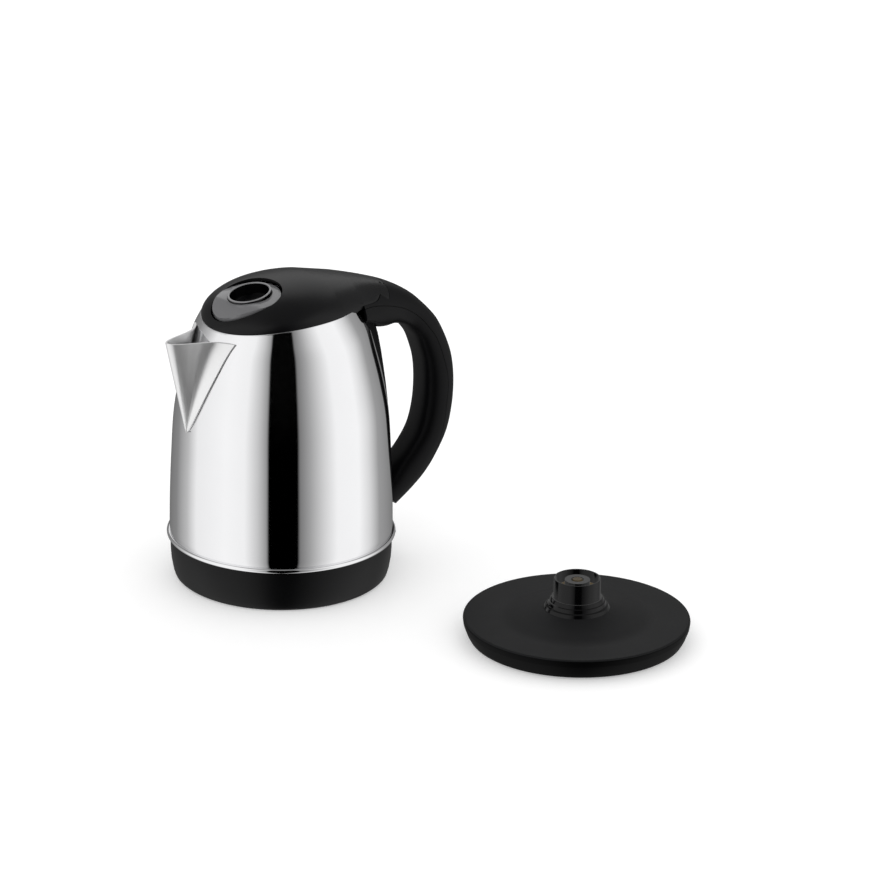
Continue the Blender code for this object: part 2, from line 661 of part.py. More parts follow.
# Parting line between the handle's outer cover and its inner grip, seen from the side
PARTING = [(40, 197), (55, 194.9), (69.7, 191), (82.7, 186.5), (93.6, 181.4), (104, 173.8), (112.7, 164)]
PARTING += [(120.1, 152.6), (127.2, 131.5), (128.9, 118.7), (127.6, 103.5), (125.2, 88.3), (117.7, 64.4)]
PARTING += [(108, 50), (92, 34), (84, 28)]

HANDLE_TURN = 150.0  # handle points above this height move with the lid, and those below it are stretched
HEIGHT_SCALE = (SEAM_Z - 49 * MM - BEAD_Z) / (118.8 * MM)


def jug_x(value):
    """A handle coordinate in mm, carried outwards with the body."""
    return value * MM + (BEAD_RADIUS - 80 * MM)


def jug_z(value):
    """A handle coordinate in mm, carried up or stretched with the body's height."""
    if value > HANDLE_TURN:
        return SEAM_Z + (value - 199.0) * MM
    return BEAD_Z + (value * MM - 31.2 * MM) * HEIGHT_SCALE


def lid_half_width(x):
    """Half width of the lid where its edge is flush with the steel."""
    return math.sqrt(max(body_radius(seam_z(x)) ** 2 - x * x, 0.0))


def lid_stations():
    """Sections of the crest from the lid's front to the start of the neck."""
    front = -math.sqrt(max(body_radius(seam_z(FRONT_X)) ** 2, 0.0)) + 0.15 * MM
    edge = seam_z(front)
    span = LEAVE_X - front
    made = []
    profile = through([(x * MM, z * MM) for x, z in CROWN], 60)
    for k in range(12):
        x = front + span * (1 - math.cos(math.pi * k / 22))
        share = (x - front) / span
        x_in = CROWN[0][0] * MM + (LEAVE_X - CROWN[0][0] * MM) * share
        rise = next(b + (c - b) * (x_in - a) / (d - a) for (a, b), (d, c) in zip(profile, profile[1:]) if x_in <= d)
        top = max(edge + rise, seam_z(x) + 0.6 * MM)
        low = seam_z(x) - 8 * MM
        made.append((x, low, x, top, max(lid_half_width(x), 1.2 * MM), 8 * MM / (top - low)))
    return made


def handle_stations():
    knots = [(jug_x(a), jug_z(b), jug_x(c), jug_z(d), w * MM, e) for a, b, c, d, w, e in HANDLE]
    return through(knots, 18)


def crest_ring(station, inset=0.0, sides=16):
    """One closed section of the crest, moved in by a wall thickness."""
    in_x, in_z, out_x, out_z, half, belly = station
    low = Vector((in_x, 0, in_z))
    rise = Vector((out_x, 0, out_z)) - low
    depth = rise.length
    rise.normalize()
    grip = smooth_step(0.2, 0.5, belly)
    up_power = 1.33 - 0.33 * grip
    side_power = 0.87 + 0.03 * grip
    middle = depth * belly
    above = max(depth - middle - inset, 0.3 * MM)
    below = max(middle - inset, 0.3 * MM)
    ring = []
    for k in range(sides):
        turn = 2 * math.pi * (k + 0.5) / sides
        c, s = math.cos(turn), math.sin(turn)
        out = math.copysign(abs(c) ** (side_power if s > 0 else 0.62), c) * max(half - inset, 0.4 * MM)
        if s > 0:
            along = middle + above * s**up_power
        else:
            along = middle - below * abs(s) ** 0.75
        place = low + rise * along
        ring.append((place.x, out, place.z))
    return ring


def tail_outline(grow):
    """Plan outline of the lid: a round tail, its tangents, and open ground in front."""
    radius = LID_TAIL_RADIUS + grow
    angle = math.radians(61.7)
    arc = [angle * (1 - 2 * k / 14) for k in range(15)]
    tail = [(LID_TAIL_X + radius * math.cos(a), radius * math.sin(a)) for a in arc]
    start = tail[0]
    slope = Vector((-math.sin(angle), math.cos(angle)))
    reach = 72 * MM
    far = (start[0] + slope.x * reach, start[1] + slope.y * reach)
    wide = BEAD_RADIUS + 20 * MM
    return [*tail, (far[0], -far[1]), (-wide, -far[1]), (-wide, far[1]), far]


def steel_keep_out(name, parent, clearance):
    """The solid of the steel body, so that lid and handle are cut clear of it."""
    outline = wall_outline(-clearance, BEAD_Z, SEAM_Z + 3 * MM, 18)
    outline += [(0, BEAD_Z), (0, SEAM_Z + 3 * MM)]
    made = tool(name, turned_mesh(name, outline, 72), parent)
    return boolean(made, seam_block(name + "_top", clearance, parent))


def spine_ring(z, grow):
    """Outline at one height of the black strip up the rear of the body."""
    widen = smooth_step(jug_z(128), jug_z(186), z)
    half = SPINE_HALF_WIDTH + 9 * MM * widen + grow
    inner = body_radius(z) + 1.5 * GAP - grow
    proud = body_radius(z) + SPINE_PROUD + grow
    ring = []
    for k in range(9):
        a = math.asin(half / proud) * (k / 4 - 1)
        ease = 1.0 - 0.35 * (SPINE_PROUD / proud) * abs(k / 4 - 1) ** 6
        ring.append((proud * ease * math.cos(a), proud * ease * math.sin(a), z))
    for k in range(9):
        a = math.asin(half / proud) * (1 - k / 4)
        ring.append((inner * math.cos(a), inner * math.sin(a), z))
    return ring


def make_spine(jug):
    low = WALL_Z + 0.6 * MM
    high = jug_z(183)
    heights = [low + (high - low) * k / 11 for k in range(12)]
    spine = loft_mesh("handle_spine", [spine_ring(z, 0.0) for z in heights])
    add("handle_spine", spine, jug, "black_satin")
    heights[0] -= GAP
    heights[-1] += GAP
    return tool("spine_clearance", loft_mesh("spine_clearance", [spine_ring(z, GAP) for z in heights]), jug)


def parting_block(name, parent, shift):
    """All that lies outside the handle's parting line, moved out by a clearance."""
    line = through([(jug_x(x), jug_z(z)) for x, z in PARTING], 46)
    moved = []
    for k, (x, z) in enumerate(line):
        a = line[max(k - 1, 0)]
        b = line[min(k + 1, len(line) - 1)]
        way = Vector((b[0] - a[0], b[1] - a[1])).normalized()
        moved.append((x - way.y * shift, z + way.x * shift))
    far = BEAD_RADIUS * 3
    top = SEAM_Z * 2
    outline = [(moved[0][0] - 20 * MM, moved[0][1]), *moved, (moved[-1][0], -far), (far, -far), (far, top)]
    outline += [(moved[0][0] - 20 * MM, top)]
    return tool(name, prism_mesh(name, outline, -60 * MM, 60 * MM, "Y"), parent)


def make_handle(jug, spine):
    stations = handle_stations()
    hollow = loft_mesh("handle_hollow", [crest_ring(s, HANDLE_WALL) for s in stations[1:-1]])
    hollow = tool("handle_hollow", hollow, jug)
    keep = steel_keep_out("handle_keep_out", jug, GAP)
    bay = tool("lid_bay", prism_mesh("lid_bay", tail_outline(RUN), 0.1 * MM, 0.3), jug)
    bay_floor = jug_z(186)
    bay.location.z = bay_floor
    swing = rod_mesh("tail_swing", 7.4 * MM, 40 * MM, "Y", 32, (HINGE_X, 0, HINGE_Z))
    swing = tool("tail_swing", swing, jug)
    ground = box_mesh("handle_ground", (0.4, 0.4, 0.1), (0, 0, HANDLE_END_Z - 0.05))
    ground = tool("handle_ground", ground, jug)
    for name, shift, keep_side in (
        ("handle_cover", GAP / 2, "INTERSECT"),
        ("handle_grip", -GAP / 2, "DIFFERENCE"),
    ):
        piece = add(name, loft_mesh(name, [crest_ring(s) for s in stations]), jug, "black_satin")
        boolean(piece, hollow)
        boolean(piece, keep)
        boolean(piece, spine)
        boolean(piece, bay)
        boolean(piece, swing)
        boolean(piece, ground)
        boolean(piece, parting_block(name + "_parting", jug, shift), keep_side)
        weld(piece)


# ---------------------------------------------------------------- lid
def make_lid(jug):
    lid = empty("lid", (HINGE_X, 0, HINGE_Z), jug)
    home = empty("lid_frame_of_jug", (-HINGE_X, 0, -HINGE_Z), lid)
    stations = lid_stations() + [s for s in handle_stations() if s[0] < 84 * MM]
    shell = add("lid_shell", loft_mesh("lid_shell", [crest_ring(s) for s in stations]), home, "black_satin")
    under = [(a, b - 12 * MM, c, d, w, (e * (d - b) + 12 * MM) / (d - b + 12 * MM)) for a, b, c, d, w, e in stations]
    hollow = loft_mesh("lid_hollow", [crest_ring(s, LID_WALL) for s in under[2:]])
    hollow = tool("lid_hollow", hollow, home)
    outline = tool("lid_outline", prism_mesh("lid_outline", tail_outline(0), 0.1, 0.4), home)
    keep = steel_keep_out("lid_keep_out", home, GAP)
    depth = tool("lid_depth", box_mesh("lid_depth", (0.4, 0.4, 0.1), (0, 0, jug_z(190) - 0.05)), home)
    notch = box_mesh("lid_notch", (24 * MM, 12 * MM, 20 * MM), (HINGE_X + 2 * MM, 0, HINGE_Z - 11 * MM))
    notch = tool("lid_notch", notch, home)
    barrel = rod_mesh("barrel_room", 3.4 * MM, 20 * MM, "Y", 20, (HINGE_X, 0, HINGE_Z))
    barrel = tool("barrel_room", barrel, home)

    # The well and its panel lie in a recess of the shell, square to the well's own leaning axis
    crown_here = lid_top(WELL_X, stations)
    mouth = Vector((WELL_X, 0, crown_here))
    well = empty("well", mouth, home)
    well.rotation_euler = (0, -WELL_TILT, 0)
    panel = oval_outline(0.0)
    pocket = tool("panel_pocket", prism_mesh("panel_pocket", oval_outline(GAP), -30 * MM, 30 * MM), well)
    boolean(shell, outline, "INTERSECT")
    for step in (hollow, keep, depth, notch, barrel, pocket):
        boolean(shell, step)
    weld(shell)

    insert = add("lid_panel", prism_mesh("lid_panel", panel, -30 * MM, 30 * MM), well, "black_gloss")
    skin = tool("panel_skin", loft_mesh("panel_skin", [crest_ring(s) for s in stations]), home)
    boolean(insert, skin, "INTERSECT")
    boolean(insert, hollow)
    wall = WELL_RADIUS + 1.6 * MM
    room = tool("well_room", rod_mesh("well_room", wall + GAP, 80 * MM, segments=MIDDLE), well)
    boolean(insert, room)

    floor = WELL_PROUD - WELL_DEPTH
    cup = [
        (WELL_RADIUS, WELL_PROUD),
        (wall, WELL_PROUD),
        (wall, floor - 1.6 * MM),
        (4.2 * MM, floor - 1.6 * MM),
        (4.2 * MM, floor),
        (WELL_RADIUS, floor),
    ]
    add("lid_well", turned_mesh("lid_well", cup, MIDDLE), well, "black_gloss")
    lift = floor + BUTTON_TRAVEL + 0.8 * MM
    cap = WELL_RADIUS - RUN
    button = [
        (0, lift + 3 * MM),
        (cap - 2 * MM, lift + 3.6 * MM),
        (cap, lift + 3 * MM),
        (cap, lift),
        (3.4 * MM, lift),
        (3.4 * MM, floor - 2 * MM),
        (0, floor - 2 * MM),
    ]
    add("lid_button", turned_mesh("lid_button", button, MIDDLE), well, "black_satin")
    turns = 2.25
    steps = 18
    coil = []
    for k in range(steps + 1):
        a = 2 * math.pi * turns * k / steps
        climb = floor + 0.8 * MM + (BUTTON_TRAVEL - 0.9 * MM) * k / steps
        coil.append((7 * MM * math.cos(a), 7 * MM * math.sin(a), climb))
    add("button_spring", wire_mesh("button_spring", coil, 0.35 * MM, 1), well, "spring_steel")

    # Frame: a plug that fills the steel mouth, its floor, the seal and the inner plate
    plug = MOUTH_RADIUS - STEEL - 3.0 * MM
    deck = jug_z(193.5)
    low = jug_z(184)
    frame = [
        (0, deck),
        (plug, deck),
        (plug, low + 4 * MM),
        (plug - 1.2 * MM, low + 4 * MM),
        (plug - 1.2 * MM, low),
        (plug - 3 * MM, low),
        (plug - 3 * MM, deck - 2 * MM),
        (0, deck - 2 * MM),
    ]
    made = add("lid_frame", turned_mesh("lid_frame", frame, ROUND), home, "black_satin")
    boolean(made, room)
    slot = box_mesh("bolt_slot", (20 * MM, 9 * MM, 3.6 * MM), (-plug, 0, low + 5.8 * MM))
    boolean(made, tool("bolt_slot", slot, home))
    seal = [
        (plug - 0.9 * MM, low + 3.6 * MM),
        (plug + 1.2 * MM, low + 3.2 * MM),
        (plug + 1.2 * MM, low + 2.2 * MM),
        (plug - 0.9 * MM, low + 0.8 * MM),
    ]
    add("lid_seal", turned_mesh("lid_seal", seal, ROUND), home, "silicone")
    plate = [(0, low - GAP), (plug - 1.2 * MM, low - GAP), (plug - 1.8 * MM, low - 1.2 * MM), (0, low - 1.2 * MM)]
    add("lid_inner_plate", turned_mesh("lid_inner_plate", plate, ROUND), home, "satin_steel")
    nose = plug + 3.4 * MM
    length = 26 * MM
    bolt = box_mesh("latch_bolt", (length, 8 * MM, 2.6 * MM), (-nose + length / 2, 0, low + 5.8 * MM), 0.5 * MM)
    add("latch_bolt", bolt, home, "spring_steel")

    # Hinge arm of the lid, bracket of the jug, and the pin through both
    arm = [(34 * MM, deck + GAP), (34 * MM, deck + 8 * MM), (HINGE_X - 8 * MM, HINGE_Z + 3 * MM)]
    arm += [(HINGE_X + 2.6 * MM * math.sin(a), HINGE_Z + 2.6 * MM * math.cos(a)) for a in (0.0, 0.8, 1.57, 2.35, 3.14)]
    arm += [(HINGE_X - 8 * MM, HINGE_Z - 1.4 * MM), (46.5 * MM, HINGE_Z - 1.4 * MM), (46.5 * MM, deck + GAP)]
    arms = add("lid_hinge_arm", prism_mesh("lid_hinge_arm", arm, -9 * MM, 9 * MM, "Y"), home, "black_satin")
    gate = box_mesh("arm_gate", (20 * MM, 10.8 * MM, 30 * MM), (HINGE_X + 4.5 * MM, 0, HINGE_Z))
    boolean(arms, tool("arm_gate", gate, home))
    bore = rod_mesh("arm_bore", HINGE_PIN_RADIUS + RUN, 40 * MM, "Y", 16, (HINGE_X, 0, HINGE_Z))
    boolean(arms, tool("arm_bore", bore, home))
    pin = add("hinge_pin", rod_mesh("hinge_pin", HINGE_PIN_RADIUS, 19 * MM, "Y", 12), jug, "spring_steel")
    pin.location = (HINGE_X, 0, HINGE_Z)
    stem = [(HINGE_X + 2.4 * MM * math.sin(a), HINGE_Z + 2.4 * MM * math.cos(a)) for a in (-1.57, -0.8, 0, 0.8, 1.57)]
    foot = jug_z(178.5)
    stem += [(HINGE_X + 2.4 * MM, foot), (HINGE_X - 1.6 * MM, foot)]
    form = prism_mesh("hinge_bracket", stem, -4.9 * MM, 4.9 * MM, "Y")
    bracket = add("hinge_bracket", form, jug, "black_satin")
    hole = rod_mesh("bracket_bore", HINGE_PIN_RADIUS + GAP, 40 * MM, "Y", 16, (HINGE_X, 0, HINGE_Z))
    boolean(bracket, tool("bracket_bore", hole, jug))


def lid_top(x, stations):
    """Height of the lid's ridge at x."""
    for one, two in zip(stations, stations[1:]):
        if one[2] <= x <= two[2]:
            return one[3] + (two[3] - one[3]) * (x - one[2]) / (two[2] - one[2])
    return stations[-1][3]


def oval_outline(grow):
    """Egg-shaped outline of the glossy panel round the well, blunt at the front, in the well's frame."""
    points = []
    for k in range(36):
        a = 2 * math.pi * k / 36
        reach = PANEL_FRONT if math.cos(a) < 0 else PANEL_REAR
        x = (reach + grow) * math.cos(a)
        half = PANEL_HALF_WIDTH + grow
        points.append((x, half * math.sin(a)))
    return points


def make_jug():
    jug = empty("jug", JUG)
    make_body(jug)
    make_spout(jug)
    make_foot(jug)
    make_switch(jug)
    spine = make_spine(jug)
    make_handle(jug, spine)
    make_lid(jug)


make_power_base()
make_jug()
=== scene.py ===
"""Finished look of the electric jug kettle and its power base.

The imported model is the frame. Smooth, finely divided pieces stand in for its faceted visible shells.
Every other node keeps its shape and gets a procedural material. Units are metres and +Z is up. Shapes
are drawn about the jug's own axis or the base's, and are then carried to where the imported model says.
"""

import json
import math

import bmesh
import bpy
from mathutils import Matrix, Vector

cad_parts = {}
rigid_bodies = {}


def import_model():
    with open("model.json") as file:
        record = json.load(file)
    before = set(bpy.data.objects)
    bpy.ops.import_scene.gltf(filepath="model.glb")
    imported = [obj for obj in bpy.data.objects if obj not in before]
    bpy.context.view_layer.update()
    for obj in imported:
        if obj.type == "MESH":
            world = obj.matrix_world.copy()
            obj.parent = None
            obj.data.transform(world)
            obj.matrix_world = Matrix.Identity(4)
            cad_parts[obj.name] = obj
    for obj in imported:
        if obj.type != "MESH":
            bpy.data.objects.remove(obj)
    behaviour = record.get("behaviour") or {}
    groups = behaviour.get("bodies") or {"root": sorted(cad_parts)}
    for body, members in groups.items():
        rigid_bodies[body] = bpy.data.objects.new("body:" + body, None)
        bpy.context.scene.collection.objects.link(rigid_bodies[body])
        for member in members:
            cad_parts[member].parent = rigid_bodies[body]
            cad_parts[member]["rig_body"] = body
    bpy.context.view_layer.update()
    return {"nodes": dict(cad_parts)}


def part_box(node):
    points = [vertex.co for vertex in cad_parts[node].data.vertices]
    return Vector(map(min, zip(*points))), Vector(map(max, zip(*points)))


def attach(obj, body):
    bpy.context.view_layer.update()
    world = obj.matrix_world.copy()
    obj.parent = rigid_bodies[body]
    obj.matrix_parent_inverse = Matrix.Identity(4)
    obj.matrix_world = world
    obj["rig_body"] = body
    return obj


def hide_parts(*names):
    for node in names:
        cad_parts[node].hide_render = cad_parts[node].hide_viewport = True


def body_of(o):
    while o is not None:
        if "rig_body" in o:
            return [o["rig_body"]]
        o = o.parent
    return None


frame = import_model()

MM = 0.001
GAP = 0.3 * MM  # clearance between pieces that don't move
RUN = 0.5 * MM  # clearance round pieces that do
WIDE = 0.3  # half a side of a cutter that reaches past the whole object
TINY = 1e-6


def middle(node):
    """Middle of a node's box, on the table."""
    low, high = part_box(node)
    return Vector(((low[0] + high[0]) / 2, (low[1] + high[1]) / 2, 0.0))


JUG = middle("body_shell")
BASE = middle("base_cover")

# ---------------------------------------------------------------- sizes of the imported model
# Jug body
BEAD_RADIUS = 80.0 * MM  # rolled bead round the bottom of the steel body
BEAD_Z = 31.2 * MM
WALL_RADIUS = BEAD_RADIUS - 2.0 * MM  # steel wall just above the bead
MOUTH_RADIUS = BEAD_RADIUS - 28.0 * MM  # steel wall at MOUTH_Z
STEEL = 1.2 * MM
SEAM_Z = 199.0 * MM  # highest point of the edge between body and lid
MOUTH_Z = SEAM_Z - 1.0 * MM
SEAM_CREST_X = 15.6 * MM
SEAM_DROP = 7.3116 * MM  # from there down to the front of the mouth
SEAM_FALL = SEAM_DROP / (MOUTH_RADIUS + SEAM_CREST_X) ** 2

# Jug foot; docked, it stands on the base's flat ring at BASE_EDGE_Z
SKIRT_RADIUS = BEAD_RADIUS - 2.6 * MM
SKIRT_FOOT_RADIUS = SKIRT_RADIUS - 5.4 * MM
SKIRT_TOP_Z = 29.4 * MM
SKIRT_WALL = 2.4 * MM
SOCKET_FLOOR_Z = 13.0 * MM  # underside of the skirt's raised centre

# Spout
SPOUT_TIP = BEAD_RADIUS + 12.0 * MM  # from the jug axis to the tip
SPOUT_RIM_Z = SEAM_Z - 12.6 * MM
SPOUT_FOOT_Z = SPOUT_RIM_Z - 67.4 * MM
SPOUT_FOOT_REACH = WALL_RADIUS - 1.1 * MM
SPOUT_HALF_WIDTH = 27.0 * MM

# Lid
LID_TAIL_X = MOUTH_RADIUS - 6.0 * MM  # centre of the lid's round tail
LID_TAIL_RADIUS = 29.5 * MM
LID_WALL = 2.4 * MM
HINGE_X = LID_TAIL_X + 25.0 * MM
HINGE_Z = SEAM_Z + 0.5 * MM
HINGE_POCKET = 7.4 * MM  # radius of the round pocket that the lid's tail turns in
WELL_X = -25.5 * MM
WELL_RADIUS = 13.8 * MM
WELL_DEPTH = 14.8 * MM
WELL_PROUD = 0.8 * MM  # how far the well's rim stands above the panel
PLATE_FRONT = 29.0 * MM  # from the well's axis to the blunt front of the panel's recess
PLATE_REAR = 21.5 * MM
PLATE_HALF_WIDTH = 25.2 * MM
RECESS = 0.3 * MM  # how far the recess stands outside that outline
CHANNEL = 1.2 * MM  # how far the panel's edge stands inside it
# x in mm, and how far in mm the panel stands above the lid's own crown there
PLATE_LIFT = [(-58, 0.4), (-50, 1.3), (-42, 2.0), (-34, 1.2), (-26, -0.6), (-18, -2.0), (-8, -3.0), (6, -3.2)]
WELL_TILT = math.radians(12.0)  # the well leans towards the spout

# Handle
HANDLE_WALL = 2.6 * MM
HANDLE_END_Z = 32.6 * MM
SPINE_HALF_WIDTH = 17.0 * MM
SPINE_PROUD = 6.0 * MM

# Power base
BASE_RADIUS = SKIRT_RADIUS - 0.2 * MM
BASE_FOOT_RADIUS = BASE_RADIUS - 4.0 * MM
BASE_EDGE_Z = 15.4 * MM
BASE_WALL = 2.4 * MM
BASE_SEAT_RADIUS = 48.0 * MM
BASE_CONE_Z = 21.7 * MM
BASE_NECK_Z = 30.2 * MM
POST_RADIUS = 15.9 * MM  # collar of the 360-degree connector
POST_TOP_Z = 43.5 * MM
BASE_CONE_RADIUS = POST_RADIUS + 6.5 * MM
POST_WALL = 1.3 * MM
FOOT_DROP = 1.2 * MM  # how far the rubber feet stand below the base

# Fineness of the visible pieces
ROUND = 160  # steps round the large turned pieces
MIDDLE = 96
FINE = 64  # points round a section of the crest
SPOUT_FINE = 81  # points across the spout, from root to root


# ---------------------------------------------------------------- modelling helpers
CUTTERS = []


def draft(name, mesh, place=Matrix()):
    """A piece in the making, still in the frame of the jug or the base."""
    made = bpy.data.objects.new(name, mesh)
    bpy.context.scene.collection.objects.link(made)
    made.matrix_world = place
    return made


def tool(name, mesh, place=Matrix()):
    """A cutter. It is removed once the pieces are cut."""
    made = draft(name, mesh, place)
    made.hide_render = True
    CUTTERS.append(made)
    return made


def boolean(obj, other, operation="DIFFERENCE"):
    step = obj.modifiers.new(other.name, "BOOLEAN")
    step.operation = operation
    step.solver = "EXACT"
    step.object = other
    return obj


def finish_piece(obj, origin, look, body, nodes, sharp=38.0):
    """Bakes the cuts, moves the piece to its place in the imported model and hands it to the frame."""
    bpy.context.view_layer.update()
    graph = bpy.context.evaluated_depsgraph_get()
    mesh = bpy.data.meshes.new_from_object(obj.evaluated_get(graph))
    mesh.transform(Matrix.Translation(origin) @ obj.matrix_world)
    form = bmesh.new()
    form.from_mesh(mesh)
    bmesh.ops.remove_doubles(form, verts=form.verts, dist=0.02 * MM)
    bmesh.ops.dissolve_degenerate(form, edges=form.edges, dist=0.01 * MM)
    form.to_mesh(mesh)
    form.free()
    made = bpy.data.objects.new(obj.name + "_skin", mesh)
    bpy.context.scene.collection.objects.link(made)
    bpy.data.objects.remove(obj, do_unlink=True)
    mesh.materials.clear()
    mesh.materials.append(look)
    mesh.shade_smooth()
    mesh.set_sharp_from_angle(angle=math.radians(sharp))
    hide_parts(*nodes)
    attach(made, body)
    return made


def turned_mesh(name, outline, steps=ROUND):
    """A closed (radius, z) outline, given with its outer side running down, turned about Z."""
    form = bmesh.new()
    rings = []
    for radius, z in outline:
        if radius < TINY:
            rings.append([form.verts.new((0.0, 0.0, z))] * steps)
            continue
        turn = [2 * math.pi * k / steps for k in range(steps)]
        rings.append([form.verts.new((radius * math.cos(a), radius * math.sin(a), z)) for a in turn])
    for ring, below in zip(rings, rings[1:] + rings[:1]):
        for k in range(steps):
            n = (k + 1) % steps
            corners = []
            for vert in (ring[k], below[k], below[n], ring[n]):
                if vert not in corners:
                    corners.append(vert)
            if len(corners) > 2:
                form.faces.new(corners)
    return as_mesh(name, form)


def as_mesh(name, form):
    """A mesh from a form, welded and with its faces turned outwards."""
    bmesh.ops.remove_doubles(form, verts=form.verts, dist=TINY)
    bmesh.ops.recalc_face_normals(form, faces=form.faces)
    mesh = bpy.data.meshes.new(name)
    form.to_mesh(mesh)
    form.free()
    return mesh


def loft_mesh(name, rings):
    """A closed skin through rings of equal point count, with a flat cap on each end."""
    form = bmesh.new()
    loops = [[form.verts.new(point) for point in ring] for ring in rings]
    for one, two in zip(loops, loops[1:]):
        for k in range(len(one)):
            n = (k + 1) % len(one)
            form.faces.new((one[k], two[k], two[n], one[n]))
    form.faces.new(reversed(loops[0]))
    form.faces.new(loops[-1])
    bmesh.ops.triangulate(form, faces=[face for face in form.faces if len(face.verts) > 4])
    return as_mesh(name, form)


def prism_mesh(name, outline, low, high, axis="Z"):
    """A flat outline drawn as a 2D curve and extruded from low to high along Z, or along Y."""
    curve = bpy.data.curves.new(name, "CURVE")
    curve.dimensions = "2D"
    curve.fill_mode = "BOTH"
    curve.extrude = (high - low) / 2
    line = curve.splines.new("POLY")
    line.points.add(len(outline) - 1)
    for point, place in zip(line.points, outline):
        point.co = (*place, 0.0, 1.0)
    line.use_cyclic_u = True
    return curve_to_mesh(name, curve, Matrix.Translation((0, 0, (low + high) / 2)), axis)


def slab(name, low, high):
    """A cutter for all that lies between two heights."""
    square = [(-WIDE, -WIDE), (WIDE, -WIDE), (WIDE, WIDE), (-WIDE, WIDE)]
    return tool(name, prism_mesh(name, square, low, high))


def curve_to_mesh(name, curve, place=Matrix(), axis="Z"):
    """The mesh of a curve, welded shut. With axis Y, the curve's x and y become world x and z."""
    holder = bpy.data.objects.new(name, curve)
    bpy.context.scene.collection.objects.link(holder)
    graph = bpy.context.evaluated_depsgraph_get()
    mesh = bpy.data.meshes.new_from_object(holder.evaluated_get(graph))
    bpy.data.objects.remove(holder, do_unlink=True)
    bpy.data.curves.remove(curve)
    mesh.transform(place)
    if axis == "Y":
        mesh.transform(Matrix.Rotation(math.pi / 2, 4, "X"))
    form = bmesh.new()
    form.from_mesh(mesh)
    bpy.data.meshes.remove(mesh)
    return as_mesh(name, form)


def smooth_step(low, high, value):
    part = min(1.0, max(0.0, (value - low) / (high - low)))
    return part * part * (3 - 2 * part)


def through(knots, count):
    """Points along a smooth curve through the knots, each knot a tuple of numbers."""
    spans = len(knots) - 1
    points = []
    for k in range(count):
        place = spans * k / (count - 1)
        i = min(int(place), spans - 1)
        f = place - i
        a, b, c, d = (knots[min(max(j, 0), spans)] for j in range(i - 1, i + 3))
        points.append(tuple(blend(f, *column) for column in zip(a, b, c, d)))
    return points


def blend(f, p, q, r, s):
    """Catmull-Rom curve between q and r."""
    bend = (2 * p - 5 * q + 4 * r - s) * f * f
    return 0.5 * (2 * q + (r - p) * f + bend + (3 * q - p - 3 * r + s) * f**3)


# ---------------------------------------------------------------- shapes, finely divided
# Share of the way up the body, and share of the way in from the wall to the mouth
SHOULDER = [(0, 0), (0.15, 0.015), (0.33, 0.058), (0.52, 0.131), (0.67, 0.29), (0.8, 0.485)]
SHOULDER += [(0.89, 0.642), (0.95, 0.819), (1, 1), (1.04, 1.16)]
WALL_Z = BEAD_Z + 5 * MM
SHOULDER_LINE = through(SHOULDER, 91)


def body_radius(z):
    """Outer radius of the steel wall at a height."""
    up = (z - WALL_Z) / (MOUTH_Z - WALL_Z)
    up = min(max(up, 0.0), SHOULDER_LINE[-1][0])
    for (low, a), (high, b) in zip(SHOULDER_LINE, SHOULDER_LINE[1:]):
        if up <= high:
            share = a + (b - a) * (up - low) / max(high - low, 1e-9)
            break
    return WALL_RADIUS - (WALL_RADIUS - MOUTH_RADIUS) * share


def seam_z(x):
    """Height of the upper edge of the steel body."""
    return SEAM_Z - SEAM_FALL * (x - SEAM_CREST_X) ** 2


def wall_outline(inset, low, high, count):
    """(radius, z) down the steel wall, moved in by inset."""
    heights = [high + (low - high) * k / (count - 1) for k in range(count)]
    return [(body_radius(z) - inset, z) for z in heights]


def spout_half_width(z):
    up = max(0.0, (z - SPOUT_FOOT_Z) / (SPOUT_RIM_Z - SPOUT_FOOT_Z))
    return max(1.0 * MM, SPOUT_HALF_WIDTH * up**0.72)


def spout_ring(z, wall):
    """Outline of the spout at one height, moved in by a wall: root, nose, root, and a keel."""
    up = (z - SPOUT_FOOT_Z) / (SPOUT_RIM_Z - SPOUT_FOOT_Z)
    nose = SPOUT_FOOT_REACH + (SPOUT_TIP - SPOUT_FOOT_REACH) * up
    half = spout_half_width(z)
    root = math.sqrt(max((body_radius(z) + GAP + STEEL) ** 2 - half**2, 0.0))
    root = min(root, nose - 0.5 * MM)
    side = []
    for k in range(8):
        back = (k / 7) ** 1.4
        out = half * (0.58 * math.sqrt(back) + 0.42 * back**6)
        side.append(Vector((-(nose + (root - nose) * back), out)))
    moved = [side[0] + Vector((wall * 1.15, 0))]
    for k in range(1, 8):
        way = (side[min(k + 1, 7)] - side[k - 1]).normalized()
        inset = wall * (1 + 0.9 * (k / 7) ** 5)
        moved.append(side[k] + Vector((way.y, -way.x)) * inset)
        moved[-1].y = max(moved[-1].y, 0.3 * MM)
    keel = Vector((moved[-1].x + 7 * MM, moved[-1].y))
    far = [*moved, keel]
    return [(p.x, -p.y, z) for p in reversed(far[1:])] + [(p.x, p.y, z) for p in far]


LEAVE_X = 24.5 * MM  # where the lid's outline leaves the steel edge
FRONT_X = -(MOUTH_RADIUS + 4.1 * MM)
CROWN = [(-56.1, 0.7), (-51, 6.6), (-42, 12.9), (-29, 18.8), (-12, 23.4), (5, 25.4), (20, 25.7), (34, 24.4)]
CROWN += [(46, 21.9)]  # x in mm, and height above the front end of the steel edge

